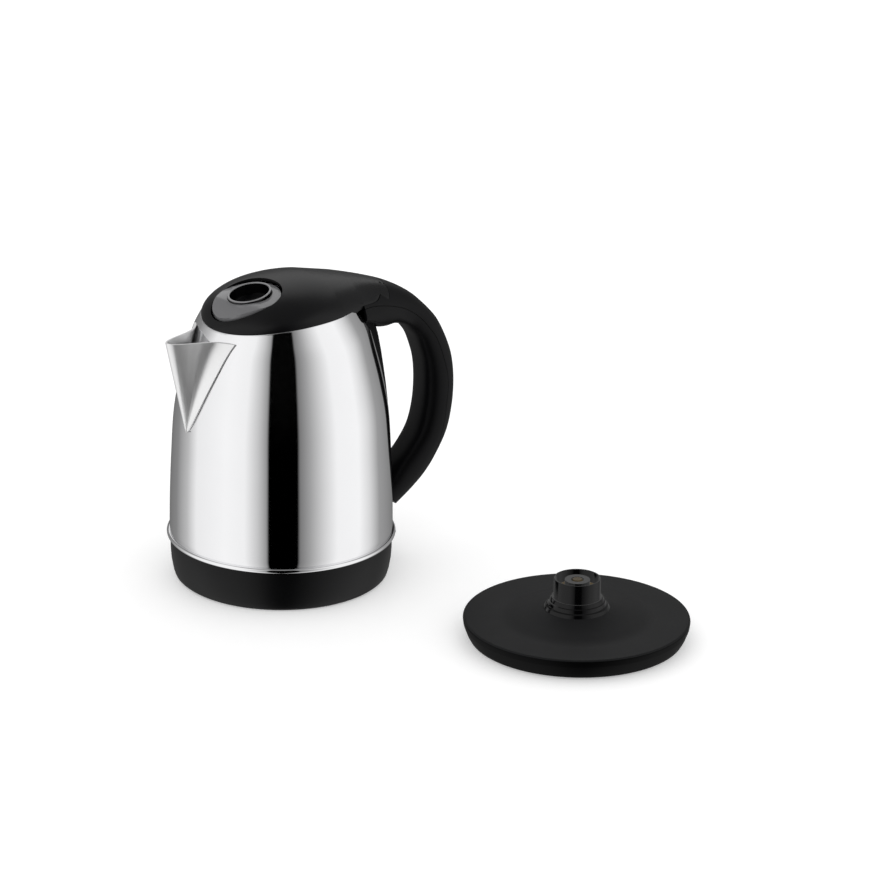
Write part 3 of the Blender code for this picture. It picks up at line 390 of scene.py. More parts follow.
# Handle sections: inner point (x, z), outer point (x, z), half width, share of depth below the widest line
HANDLE = [
    (46, 186, 46, 212.8, 38.2, 0.14),
    (56, 180, 58, 209.6, 32.2, 0.24),
    (66, 173.5, 71, 205.6, 26.0, 0.34),
    (76, 170.6, 84, 200.6, 20.4, 0.42),
    (84.5, 170.6, 96, 194.2, 17.2, 0.47),
    (91.5, 169.0, 105, 188.0, 15.7, 0.5),
    (97.2, 166.2, 112, 181.6, 15, 0.5),
    (102.6, 160.3, 119, 174.4, 15, 0.5),
    (106.5, 154.3, 125.5, 166, 15, 0.5),
    (110.4, 144, 132.7, 151.5, 15, 0.5),
    (113, 133.8, 137.4, 137, 15, 0.5),
    (114, 120, 139.2, 119.5, 15, 0.5),
    (113, 104, 138, 101, 15, 0.5),
    (109.2, 88.5, 133.6, 82.5, 15, 0.5),
    (102.3, 77, 124.8, 66, 15, 0.5),
    (93, 66.5, 116, 54, 15, 0.5),
    (84, 56, 104.5, 44, 15, 0.5),
    (76, 48, 91, 33.8, 14, 0.5),
]
# Parting line between the handle's outer cover and its inner grip, seen from the side
PARTING = [(40, 197), (55, 194.9), (69.7, 191), (82.7, 186.5), (93.6, 181.4), (104, 173.8), (112.7, 164)]
PARTING += [(120.1, 152.6), (127.2, 131.5), (128.9, 118.7), (127.6, 103.5), (125.2, 88.3), (117.7, 64.4)]
PARTING += [(108, 50), (92, 34), (84, 28)]

HANDLE_TURN = 150.0  # handle points above this height move with the lid, and those below it are stretched
HEIGHT_SCALE = (SEAM_Z - 49 * MM - BEAD_Z) / (118.8 * MM)


def jug_x(value):
    """A handle coordinate in mm, carried outwards with the body."""
    return value * MM + (BEAD_RADIUS - 80 * MM)


def jug_z(value):
    """A handle coordinate in mm, carried up or stretched with the body's height."""
    if value > HANDLE_TURN:
        return SEAM_Z + (value - 199.0) * MM
    return BEAD_Z + (value * MM - 31.2 * MM) * HEIGHT_SCALE


def lid_half_width(x):
    """Half width of the lid where its edge is flush with the steel."""
    return math.sqrt(max(body_radius(seam_z(x)) ** 2 - x * x, 0.0))


def lid_stations():
    """Sections of the crest from the lid's front to the start of the neck."""
    front = -body_radius(seam_z(FRONT_X)) + 0.15 * MM
    edge = seam_z(front)
    span = LEAVE_X - front
    made = []
    profile = through([(x * MM, z * MM) for x, z in CROWN], 240)
    for k in range(48):
        x = front + span * (1 - math.cos(math.pi * k / 94))
        share = (x - front) / span
        x_in = CROWN[0][0] * MM + (LEAVE_X - CROWN[0][0] * MM) * share
        (a, b), (d, c) = next(pair for pair in zip(profile, profile[1:]) if x_in <= pair[1][0])
        rise = b + (c - b) * (x_in - a) / (d - a)
        top = max(edge + rise, seam_z(x) + 0.6 * MM)
        low = seam_z(x) - 8 * MM
        made.append((x, low, x, top, max(lid_half_width(x), 1.2 * MM), 8 * MM / (top - low)))
    return made


def handle_stations():
    knots = [(jug_x(a), jug_z(b), jug_x(c), jug_z(d), w * MM, e) for a, b, c, d, w, e in HANDLE]
    return through(knots, 88)


def crest_ring(station, inset=0.0, sides=FINE):
    """One closed section of the crest, moved in by a wall thickness."""
    in_x, in_z, out_x, out_z, half, belly = station
    low = Vector((in_x, 0, in_z))
    rise = Vector((out_x, 0, out_z)) - low
    depth = rise.length
    rise.normalize()
    grip = smooth_step(0.2, 0.5, belly)
    up_power = 1.33 - 0.33 * grip
    side_power = 0.87 + 0.03 * grip
    middle = depth * belly
    above = max(depth - middle - inset, 0.3 * MM)
    below = max(middle - inset, 0.3 * MM)
    ring = []
    for k in range(sides):
        turn = 2 * math.pi * (k + 0.5) / sides
        c, s = math.cos(turn), math.sin(turn)
        out = math.copysign(abs(c) ** (side_power if s > 0 else 0.62), c) * max(half - inset, 0.4 * MM)
        if s > 0:
            along = middle + above * s**up_power
        else:
            along = middle - below * abs(s) ** 0.75
        place = low + rise * along
        ring.append((place.x, out, place.z))
    return ring


def tail_outline(grow):
    """Plan outline of the lid: a round tail, its tangents, and open ground in front."""
    radius = LID_TAIL_RADIUS + grow
    angle = math.radians(61.7)
    arc = [angle * (1 - 2 * k / 56) for k in range(57)]
    tail = [(LID_TAIL_X + radius * math.cos(a), radius * math.sin(a)) for a in arc]
    start = tail[0]
    slope = Vector((-math.sin(angle), math.cos(angle)))
    reach = 72 * MM
    far = (start[0] + slope.x * reach, start[1] + slope.y * reach)
    wide = BEAD_RADIUS + 20 * MM
    return [*tail, (far[0], -far[1]), (-wide, -far[1]), (-wide, far[1]), far]


def lid_top(x, stations):
    """Height of the lid's ridge at x."""
    for one, two in zip(stations, stations[1:]):
        if one[2] <= x <= two[2]:
            return one[3] + (two[3] - one[3]) * (x - one[2]) / (two[2] - one[2])
    return stations[-1][3]


def spine_ring(z, grow):
    """Outline at one height of the black strip up the rear of the body."""
    widen = smooth_step(jug_z(128), jug_z(186), z)
    half = SPINE_HALF_WIDTH + 9 * MM * widen + grow
    inner = body_radius(z) + 1.5 * GAP - grow
    proud = body_radius(z) + SPINE_PROUD + grow
    ring = []
    for k in range(33):
        a = math.asin(half / proud) * (k / 16 - 1)
        ease = 1.0 - 0.35 * (SPINE_PROUD / proud) * abs(k / 16 - 1) ** 6
        ring.append((proud * ease * math.cos(a), proud * ease * math.sin(a), z))
    for k in range(33):
        a = math.asin(half / proud) * (1 - k / 16)
        ring.append((inner * math.cos(a), inner * math.sin(a), z))
    return ring


# ---------------------------------------------------------------- materials
def grain(tree, scale, detail=3.0, stretch=(1.0, 1.0, 1.0)):
    """Noise in object space, so that its size is a real one, per metre."""
    coords = tree.nodes.new("ShaderNodeTexCoord")
    mapping = tree.nodes.new("ShaderNodeMapping")
    mapping.inputs["Scale"].default_value = stretch
    noise = tree.nodes.new("ShaderNodeTexNoise")
    noise.inputs["Scale"].default_value = scale
    noise.inputs["Detail"].default_value = detail
    tree.links.new(coords.outputs["Object"], mapping.inputs["Vector"])
    tree.links.new(mapping.outputs["Vector"], noise.inputs["Vector"])
    return noise.outputs["Fac"]


def spread(tree, source, low, high):
    """Maps the middle of a noise to a range."""
    made = tree.nodes.new("ShaderNodeMapRange")
    made.inputs["From Min"].default_value = 0.3
    made.inputs["From Max"].default_value = 0.7
    made.inputs["To Min"].default_value = low
    made.inputs["To Max"].default_value = high
    tree.links.new(source, made.inputs["Value"])
    return made.outputs["Result"]


def finish_look(
    name,
    colour,
    roughness,
    metallic=0.0,
    tint=0.0,
    uneven=0.0,
    patch=25.0,
    bump=0.0,
    texture=2500.0,
    stretch=(1.0, 1.0, 1.0),
    coat=0.0,
    specular=0.5,
):
    """A procedural finish: patchy tint and polish, and a fine surface texture of a real size."""
    made = bpy.data.materials.new(name)
    made.use_nodes = True
    tree = made.node_tree
    shader = tree.nodes["Principled BSDF"]
    shader.inputs["Metallic"].default_value = metallic
    shader.inputs["Coat Weight"].default_value = coat
    shader.inputs["Coat Roughness"].default_value = 0.08
    shader.inputs["Specular IOR Level"].default_value = specular
    patches = grain(tree, patch, 4.0)
    blend = tree.nodes.new("ShaderNodeMix")
    blend.data_type = "RGBA"
    dark = tuple(c * (1 - tint) for c in colour)
    light = tuple(min(1.0, c * (1 + tint)) for c in colour)
    blend.inputs[6].default_value = (*dark, 1.0)
    blend.inputs[7].default_value = (*light, 1.0)
    tree.links.new(spread(tree, patches, 0.0, 1.0), blend.inputs["Factor"])
    tree.links.new(blend.outputs[2], shader.inputs["Base Color"])
    fine = grain(tree, texture, 2.0, stretch)
    both = tree.nodes.new("ShaderNodeMath")
    both.operation = "MULTIPLY_ADD"
    tree.links.new(fine, both.inputs[0])
    both.inputs[1].default_value = 0.5
    half = tree.nodes.new("ShaderNodeMath")
    half.operation = "MULTIPLY"
    half.inputs[1].default_value = 0.5
    tree.links.new(patches, half.inputs[0])
    tree.links.new(half.outputs[0], both.inputs[2])
    low = max(0.0, roughness - uneven)
    tree.links.new(spread(tree, both.outputs[0], low, roughness + uneven), shader.inputs["Roughness"])
    if bump:
        relief = tree.nodes.new("ShaderNodeBump")
        relief.inputs["Strength"].default_value = bump
        relief.inputs["Distance"].default_value = 0.05 * MM
        tree.links.new(fine, relief.inputs["Height"])
        tree.links.new(relief.outputs["Normal"], shader.inputs["Normal"])
    return made


LOOKS = {
    "polished_steel": finish_look(
        "polished_steel_look", (0.86, 0.86, 0.87), 0.045, 1.0, tint=0.01, uneven=0.012
    ),
    "rolled_edge": finish_look("rolled_edge_look", (0.82, 0.82, 0.83), 0.12, 1.0, tint=0.02, uneven=0.03),
    "satin_steel": finish_look(
        "satin_steel_look", (0.93, 0.93, 0.93), 0.44, 1.0, tint=0.02, uneven=0.04, bump=0.12,
        texture=1500.0, stretch=(1.0, 1.0, 0.05),
    ),
    "handle_black": finish_look(
        "handle_black_look", (0.0014, 0.0014, 0.0019), 0.42, tint=0.12, uneven=0.05, bump=0.22,
        texture=2600.0, specular=0.13,
    ),
    "lid_black": finish_look(
        "lid_black_look", (0.0018, 0.0018, 0.0023), 0.3, tint=0.12, uneven=0.05, bump=0.2, texture=2600.0,
        specular=0.22,
    ),
    "skirt_black": finish_look(
        "skirt_black_look", (0.0010, 0.0010, 0.0013), 0.34, tint=0.12, uneven=0.05, bump=0.15, texture=2200.0,
        specular=0.2,
    ),
    "base_black": finish_look(
        "base_black_look", (0.0072, 0.0074, 0.0080), 0.46, tint=0.12, uneven=0.05, bump=0.3, texture=2000.0,
        specular=0.14,
    ),
    # A darker copy of the base's black: painted shade for the side wall, which faces down
    "painted_shade_side": finish_look(
        "painted_shade_side_look", (0.0007, 0.0007, 0.0008), 0.4, tint=0.12, uneven=0.05, bump=0.2, texture=2000.0,
        specular=0.06,
    ),
    "dark_brass": finish_look(
        "dark_brass_look", (0.10, 0.075, 0.04), 0.34, 1.0, tint=0.15, uneven=0.08, patch=160.0
    ),
    "gloss_black": finish_look(
        "gloss_black_look", (0.0012, 0.0012, 0.0014), 0.13, tint=0.1, uneven=0.02, texture=900.0,
        specular=0.25,
    ),
    # The glossy panel round the well: real gloss from its coat, and a mid grey base colour that is a painted
    # reflection of the pale room
    "painted_reflection_panel": finish_look(
        "painted_reflection_panel_look", (0.155, 0.155, 0.160), 0.2, tint=0.05, uneven=0.03, coat=0.4, texture=900.0
    ),
    # A lighter grey for the top of the well's rim: a painted highlight
    "painted_highlight_rim": finish_look("painted_highlight_rim_look", (0.20, 0.20, 0.205), 0.16, tint=0.05, uneven=0.03, coat=0.5),
    "cream": finish_look(
        "cream_look", (0.62, 0.57, 0.45), 0.45, tint=0.05, uneven=0.06, bump=0.2, texture=1800.0
    ),
    "silicone": finish_look("silicone_look", (0.5, 0.5, 0.48), 0.5, tint=0.05, uneven=0.06, bump=0.15),
    "rubber": finish_look(
        "rubber_look", (0.014, 0.014, 0.014), 0.72, tint=0.2, uneven=0.08, bump=0.5, texture=1600.0
    ),
    "aluminium": finish_look(
        "aluminium_look", (0.58, 0.59, 0.6), 0.36, 1.0, tint=0.05, uneven=0.08, bump=0.3, stretch=(1, 0.04, 1)
    ),
    "brass": finish_look("brass_look", (0.74, 0.52, 0.22), 0.24, 1.0, tint=0.1, uneven=0.08, patch=160.0),
    "wire_steel": finish_look(
        "wire_steel_look", (0.55, 0.55, 0.56), 0.26, 1.0, tint=0.06, uneven=0.08, bump=0.15
    ),
    "element": finish_look(
        "element_look", (0.2, 0.19, 0.18), 0.42, 1.0, tint=0.25, uneven=0.1, patch=90.0, bump=0.3
    ),
}

NODE_LOOKS = {
    "floor_plate": "satin_steel",
    "lid_inner_plate": "satin_steel",
    "handle_spine": "handle_black",
    "hinge_bracket": "handle_black",
    "lid_hinge_arm": "handle_black",
    "lid_frame": "lid_black",
    "lid_button": "lid_black",
    "heat_spreader": "aluminium",
    "heating_element": "element",
    "control_housing": "cream",
    "switch_box": "cream",
    "socket_ring": "gloss_black",
    "connector_core": "gloss_black",
    "switch_lever": "gloss_black",
    "socket_contact_live": "brass",
    "socket_contact_earth": "brass",
    "contact_ring_inner": "dark_brass",
    "contact_ring_outer": "dark_brass",
    "earth_pin": "dark_brass",
    "lever_pin": "wire_steel",
    "hinge_pin": "wire_steel",
    "button_spring": "wire_steel",
    "latch_bolt": "wire_steel",
    "lid_seal": "silicone",
    "cord_gland": "rubber",
    "base_bottom_plate": "base_black",
}
for number in (1, 2, 3):
    NODE_LOOKS[f"base_screw_{number}"] = "wire_steel"
    NODE_LOOKS[f"base_foot_{number}"] = "rubber"
for node, look in NODE_LOOKS.items():
    held = frame["nodes"][node].data
    held.materials.clear()
    held.materials.append(LOOKS[look])


# ---------------------------------------------------------------- jug body and spout
def seam_block(name, raise_by):
    """All that lies above the edge between body and lid, raised by a clearance."""
    reach = BEAD_RADIUS * 1.3
    steps = [reach * (k / 40 - 1) for k in range(81)]
    outline = [(x, seam_z(x) + raise_by) for x in steps]
    outline += [(reach, SEAM_Z + reach), (-reach, SEAM_Z + reach)]
    return tool(name, prism_mesh(name, outline, -reach, reach, "Y"))


def rounded(points, bulge=0.35 * MM):
    """Takes the hard corners off a closed (radius, z) outline."""
    made = []
    for k, (r, z) in enumerate(points):
        here = Vector((r, z))
        before = Vector(points[k - 1])
        after = Vector(points[(k + 1) % len(points)])
        if r < TINY or (before - here).length < 2.2 * bulge or (after - here).length < 2.2 * bulge:
            made.append((r, z))
            continue
        back = (before - here).normalized()
        on = (after - here).normalized()
        if back.dot(on) < -0.985:
            made.append((r, z))
            continue
        one = here + back * bulge
        two = here + on * bulge
        for share in (0.0, 0.25, 0.5, 0.75, 1.0):
            flat = one.lerp(two, share)
            made.append(tuple(flat.lerp(here, 2 * share * (1 - share) * 0.9)))
    return made


def make_body():
    top = SEAM_Z + 5 * MM
    outer = wall_outline(0, WALL_Z + 4 * MM, top, 70)
    bead = []
    for k in range(25):
        a = math.radians(100 - 200 * k / 24)
        reach = BEAD_RADIUS - 1.9 * MM + 1.9 * MM * math.cos(a)
        bead.append((max(reach, WALL_RADIUS - 0.4 * MM), BEAD_Z + 0.3 * MM + 1.7 * MM * math.sin(a)))
    foot = [(WALL_RADIUS, WALL_Z + 1 * MM), (WALL_RADIUS - 0.05 * MM, BEAD_Z + 2.9 * MM)]
    inner = [(WALL_RADIUS - STEEL, BEAD_Z - 1.4 * MM)]
    inner += [(r, z) for r, z in reversed(wall_outline(STEEL, WALL_Z + 4 * MM, top, 40))]
    body = draft("body_shell", turned_mesh("body", outer + foot + bead + inner))
    boolean(body, seam_block("body_mouth_cut", 0.0))
    half = SPOUT_HALF_WIDTH * 0.45
    low = SPOUT_FOOT_Z + 28 * MM
    high = SPOUT_RIM_Z - 8 * MM
    outline = [(-half * 0.35, low), (half * 0.35, low), (half, high - 4 * MM), (half * 0.8, high)]
    outline += [(-half * 0.8, high), (-half, high - 4 * MM)]
    window = prism_mesh("pouring_window", outline, -SPOUT_TIP, SPOUT_TIP, "Y")
    window.transform(Matrix.Rotation(math.pi / 2, 4, "Z"))
    window.transform(Matrix.Translation((-SPOUT_TIP - 30 * MM, 0, 0)))
    boolean(body, tool("pouring_window", window))
    finish_piece(body, JUG, LOOKS["polished_steel"], "jug", ["body_shell"])


def spout_section(z, wall):
    """The spout's outline at one height, drawn as a smooth curve through its points."""
    coarse = spout_ring(z, wall)
    return [coarse[0], *through(coarse[1:-1], SPOUT_FINE), coarse[-1]]


def make_spout():
    count = 44
    heights = [SPOUT_FOOT_Z + (SPOUT_RIM_Z - SPOUT_FOOT_Z) * (k / (count - 1)) ** 1.2 for k in range(count)]
    spout = draft("spout", loft_mesh("spout", [spout_section(z, 0.0) for z in heights]))
    outline = wall_outline(-GAP, SPOUT_FOOT_Z - 20 * MM, MOUTH_Z, 48)
    outline += [(0, SPOUT_FOOT_Z - 20 * MM), (0, MOUTH_Z)]
    boolean(spout, tool("spout_seat", turned_mesh("spout_seat", outline)))
    low = SPOUT_FOOT_Z + 9 * MM
    heights = [low + (SPOUT_RIM_Z + 4 * MM - low) * (k / (count - 1)) ** 1.2 for k in range(count)]
    hollow = loft_mesh("spout_hollow", [spout_section(z, STEEL) for z in heights])
    boolean(spout, tool("spout_hollow", hollow))
    finish_piece(spout, JUG, LOOKS["satin_steel"], "jug", ["spout"])


def make_skirt():
    rim = WALL_RADIUS - 2.6 * MM
    outline = [
        (rim, SKIRT_TOP_Z),
        (SKIRT_RADIUS, SKIRT_TOP_Z),
        (SKIRT_RADIUS, 20 * MM),
        (SKIRT_RADIUS - 0.5 * MM, 13 * MM),
        (SKIRT_RADIUS - 1.7 * MM, 6 * MM),
        (SKIRT_RADIUS - 2.9 * MM, 2 * MM),
        (SKIRT_FOOT_RADIUS, 0),
        (SKIRT_FOOT_RADIUS - 6 * MM, 0),
        (SKIRT_FOOT_RADIUS - 9 * MM, 4 * MM),
        (POST_RADIUS + 22 * MM, SOCKET_FLOOR_Z),
        (POST_RADIUS + RUN + 2 * MM, SOCKET_FLOOR_Z),
        (POST_RADIUS + RUN + 2 * MM, SOCKET_FLOOR_Z + SKIRT_WALL),
        (POST_RADIUS + 23 * MM, SOCKET_FLOOR_Z + SKIRT_WALL),
        (SKIRT_FOOT_RADIUS - 8 * MM, 6.6 * MM),
        (rim - SKIRT_WALL, 6.6 * MM),
        (rim - SKIRT_WALL, SKIRT_TOP_Z),
    ]
    skirt = draft("base_skirt", turned_mesh("skirt", rounded(outline, 0.6 * MM)))
    slot = bpy.data.meshes.new("lever_slot")
    form = bmesh.new()
    bmesh.ops.create_cube(form, size=1.0)
    bmesh.ops.scale(form, verts=form.verts, vec=(30 * MM, 21 * MM, 13 * MM))
    bmesh.ops.bevel(form, geom=form.edges[:], offset=1.2 * MM, segments=3, affect="EDGES", profile=0.5)
    form.to_mesh(slot)
    form.free()
    boolean(skirt, tool("lever_slot", slot, Matrix.Translation((SKIRT_RADIUS, 0, 15 * MM))))
    finish_piece(skirt, JUG, LOOKS["skirt_black"], "jug", ["base_skirt"], 30)


# ---------------------------------------------------------------- handle and lid
def steel_keep_out(name, clearance):
    """The solid of the steel body, so that lid and handle are cut clear of it."""
    outline = wall_outline(-clearance, BEAD_Z, SEAM_Z + 3 * MM, 70)
    outline += [(0, BEAD_Z), (0, SEAM_Z + 3 * MM)]
    return boolean(tool(name, turned_mesh(name, outline)), seam_block(name + "_top", clearance))


def parting_block(name, shift):
    """All that lies outside the handle's parting line, moved out by a clearance."""
    line = through([(jug_x(x), jug_z(z)) for x, z in PARTING], 160)
    moved = []
    for k, (x, z) in enumerate(line):
        a = line[max(k - 1, 0)]
        b = line[min(k + 1, len(line) - 1)]
        way = Vector((b[0] - a[0], b[1] - a[1])).normalized()
        moved.append((x - way.y * shift, z + way.x * shift))
    far = BEAD_RADIUS * 3
    outline = [(moved[0][0] - 20 * MM, moved[0][1]), *moved, (moved[-1][0], -far), (far, -far), (far, far)]
    outline += [(moved[0][0] - 20 * MM, far)]
    return tool(name, prism_mesh(name, outline, -60 * MM, 60 * MM, "Y"))


def make_handle():
    stations = handle_stations()
    rings = [crest_ring(s, HANDLE_WALL) for s in stations[6:-3]]
    hollow = tool("handle_hollow", loft_mesh("handle_hollow", rings))
    keep = steel_keep_out("handle_keep_out", GAP)
    bay = tool("lid_bay", prism_mesh("lid_bay", tail_outline(RUN), 0.1 * MM, 0.3))
    bay.location.z = jug_z(186)
    swing = bpy.data.meshes.new("tail_swing")
    form = bmesh.new()
    size = {"radius1": HINGE_POCKET, "radius2": HINGE_POCKET, "depth": 40 * MM}
    bmesh.ops.create_cone(form, cap_ends=True, segments=64, **size)
    bmesh.ops.rotate(form, verts=form.verts, matrix=Matrix.Rotation(math.pi / 2, 3, "X"))
    form.to_mesh(swing)
    form.free()
    swing = tool("tail_swing", swing, Matrix.Translation((HINGE_X, 0, HINGE_Z)))
    low = WALL_Z + 0.6 * MM
    high = jug_z(183)
    heights = [low + (high - low) * k / 40 for k in range(41)]
    heights[0] -= GAP
    heights[-1] += GAP
    spine = tool("spine_clearance", loft_mesh("spine_clearance", [spine_ring(z, GAP) for z in heights]))
    ground = slab("handle_ground", HANDLE_END_Z - 0.1, HANDLE_END_Z)
    for name, shift, keep_side in (
        ("handle_cover", GAP / 2, "INTERSECT"),
        ("handle_grip", -GAP / 2, "DIFFERENCE"),
    ):
        piece = draft(name, loft_mesh(name, [crest_ring(s) for s in stations]))
        for step in (hollow, keep, spine, bay, swing, ground):
            boolean(piece, step)
        boolean(piece, parting_block(name + "_parting", shift), keep_side)
        finish_piece(piece, JUG, LOOKS["handle_black"], "jug", [name])


def egg(grow, count=120):
    """Egg-shaped outline of the glossy panel round the well, in the well's frame."""
    points = []
    for k in range(count):
        a = 2 * math.pi * k / count
        reach = PLATE_FRONT if math.cos(a) < 0 else PLATE_REAR
        points.append(((reach + grow) * math.cos(a), (PLATE_HALF_WIDTH + grow) * math.sin(a)))
    return points


def make_lid():
    stations = lid_stations() + [s for s in handle_stations() if s[0] < 84 * MM]
    # The hollow's sections reach further down, so that the shell is open below
    deep = 12 * MM
    under = [(a, b - deep, c, d, w, (e * (d - b) + deep) / (d - b + deep)) for a, b, c, d, w, e in stations]
    hollow = tool("lid_hollow", loft_mesh("lid_hollow", [crest_ring(s, LID_WALL) for s in under[6:]]))
    outline = tool("lid_outline", prism_mesh("lid_outline", tail_outline(0), 0.1, 0.4))
    keep = steel_keep_out("lid_keep_out", GAP)
    depth = slab("lid_depth", 0.05, jug_z(190))
    notch_plan = [
        (HINGE_X - 10 * MM, -6 * MM),
        (HINGE_X + 14 * MM, -6 * MM),
        (HINGE_X + 14 * MM, 6 * MM),
        (HINGE_X - 10 * MM, 6 * MM),
    ]
    notch = tool("lid_notch", prism_mesh("lid_notch", notch_plan, HINGE_Z - 21 * MM, HINGE_Z - 1 * MM))
    place = Matrix.Translation((WELL_X, 0, lid_top(WELL_X, stations))) @ Matrix.Rotation(-WELL_TILT, 4, "Y")
    pocket = tool("panel_pocket", prism_mesh("panel_pocket", egg(RECESS), -30 * MM, 30 * MM), place)
    shell = draft("lid_shell", loft_mesh("lid_shell", [crest_ring(s) for s in stations]))
    boolean(shell, outline, "INTERSECT")
    for step in (hollow, keep, depth, notch, pocket):
        boolean(shell, step)
    finish_piece(shell, JUG, LOOKS["lid_black"], "lid", ["lid_shell"])

    # The panel lies on the lid's crown, lifted or sunk along its length, and a dark channel runs round it
    wall = WELL_RADIUS + 1.6 * MM
    room = [(0, 40 * MM), (wall + GAP, 40 * MM), (wall + GAP, -40 * MM), (0, -40 * MM)]
    room = tool("well_room", turned_mesh("well_room", room), place)
    panel = draft("lid_panel", prism_mesh("lid_panel", egg(-CHANNEL), -9 * MM, 30 * MM), place)
    bed = [(a, b, c, d + plate_lift(c), w, e) for a, b, c, d, w, e in stations]
    skin = tool("panel_skin", loft_mesh("panel_skin", [crest_ring(s) for s in bed]))
    boolean(panel, skin, "INTERSECT")
    boolean(panel, room)
    # The panel's grey base colour is a painted reflection
    finish_piece(panel, JUG, LOOKS["painted_reflection_panel"], "lid", ["lid_panel"], 50)

    floor = WELL_PROUD - WELL_DEPTH
    lip = WELL_PROUD
    cup = [
        (WELL_RADIUS, lip - 0.5 * MM),
        (WELL_RADIUS + 0.15 * MM, lip - 0.15 * MM),
        (WELL_RADIUS + 0.5 * MM, lip),
        (wall - 0.5 * MM, lip),
        (wall - 0.15 * MM, lip - 0.15 * MM),
        (wall, lip - 0.5 * MM),
        (wall, floor - 1.6 * MM),
        (4.2 * MM, floor - 1.6 * MM),
        (4.2 * MM, floor),
        (WELL_RADIUS - 1 * MM, floor),
        (WELL_RADIUS, floor + 1 * MM),
    ]
    well = draft("lid_well", turned_mesh("lid_well", cup, MIDDLE), place)
    made = finish_piece(well, JUG, LOOKS["gloss_black"], "lid", ["lid_well"], 50)
    # The top of the well's rim gets a lighter grey, a painted highlight along its glossy edge
    made.data.materials.append(LOOKS["painted_highlight_rim"])
    turn_back = (Matrix.Translation(JUG) @ place).inverted()
    for face in made.data.polygons:
        here = turn_back @ face.center
        if here.z > lip - 0.6 * MM:
            face.material_index = 1


def plate_lift(x):
    """How far the panel stands above the crown at x: proud in front of the well, sunk behind it."""
    line = through([(a * MM, b * MM) for a, b in PLATE_LIFT], 60)
    if x <= line[0][0]:
        return line[0][1]
    return next((b for a, b in line if a >= x), line[-1][1])


def make_hinge_cap():
    """A curved cap on the lid's tail, solid at its sides, which fills the pocket that the hinge turns in."""
    inner = HINGE_POCKET - 1.9 * MM
    outer = HINGE_POCKET - GAP
    turn = [math.radians(-45 + 115 * k / 30) for k in range(31)]
    arc = [(HINGE_X + outer * math.sin(a), HINGE_Z + outer * math.cos(a)) for a in turn]
    arc += [(HINGE_X + inner * math.sin(a), HINGE_Z + inner * math.cos(a)) for a in reversed(turn)]
    half = 19.6 * MM
    cap = draft("hinge_cap", prism_mesh("hinge_cap", arc, -half, half, "Y"))
    around = [2 * math.pi * k / 90 for k in range(90)]
    disc = [(HINGE_X + outer * math.sin(a), HINGE_Z + outer * math.cos(a)) for a in around]
    for side in (-1, 1):
        ends = sorted((side * 9.9 * MM, side * half))  # clear of the ends of the hinge pin
        boolean(cap, tool("cap_side", prism_mesh("cap_side", disc, ends[0], ends[1], "Y")), "UNION")
    stations = [s for s in handle_stations() if s[0] < 96 * MM]
    skin = tool("cap_skin", loft_mesh("cap_skin", [crest_ring(s) for s in stations]))
    boolean(cap, skin, "INTERSECT")
    boolean(cap, tool("cap_tail", prism_mesh("cap_tail", tail_outline(0.05 * MM), 0.1, 0.4)))
    finish_piece(cap, JUG, LOOKS["lid_black"], "lid", [])


def make_lip():
    """The rolled lip along the upper edge of the steel, a thin bright line."""
    curve = bpy.data.curves.new("mouth_lip", "CURVE")
    curve.dimensions = "3D"
    curve.bevel_depth = 0.6 * MM
    curve.bevel_resolution = 3
    line = curve.splines.new("POLY")
    count = 240
    line.points.add(count - 1)
    for k in range(count):
        a = 2 * math.pi * k / count
        z = SEAM_Z
        for _ in range(12):
            z = seam_z(body_radius(z) * math.cos(a))
        reach = body_radius(z) - 0.2 * MM
        line.points[k].co = (reach * math.cos(a), reach * math.sin(a), z - 0.55 * MM, 1.0)
    line.use_cyclic_u = True
    lip = draft("mouth_lip", curve_to_mesh("mouth_lip", curve))
    finish_piece(lip, JUG, LOOKS["rolled_edge"], "jug", [], 60)


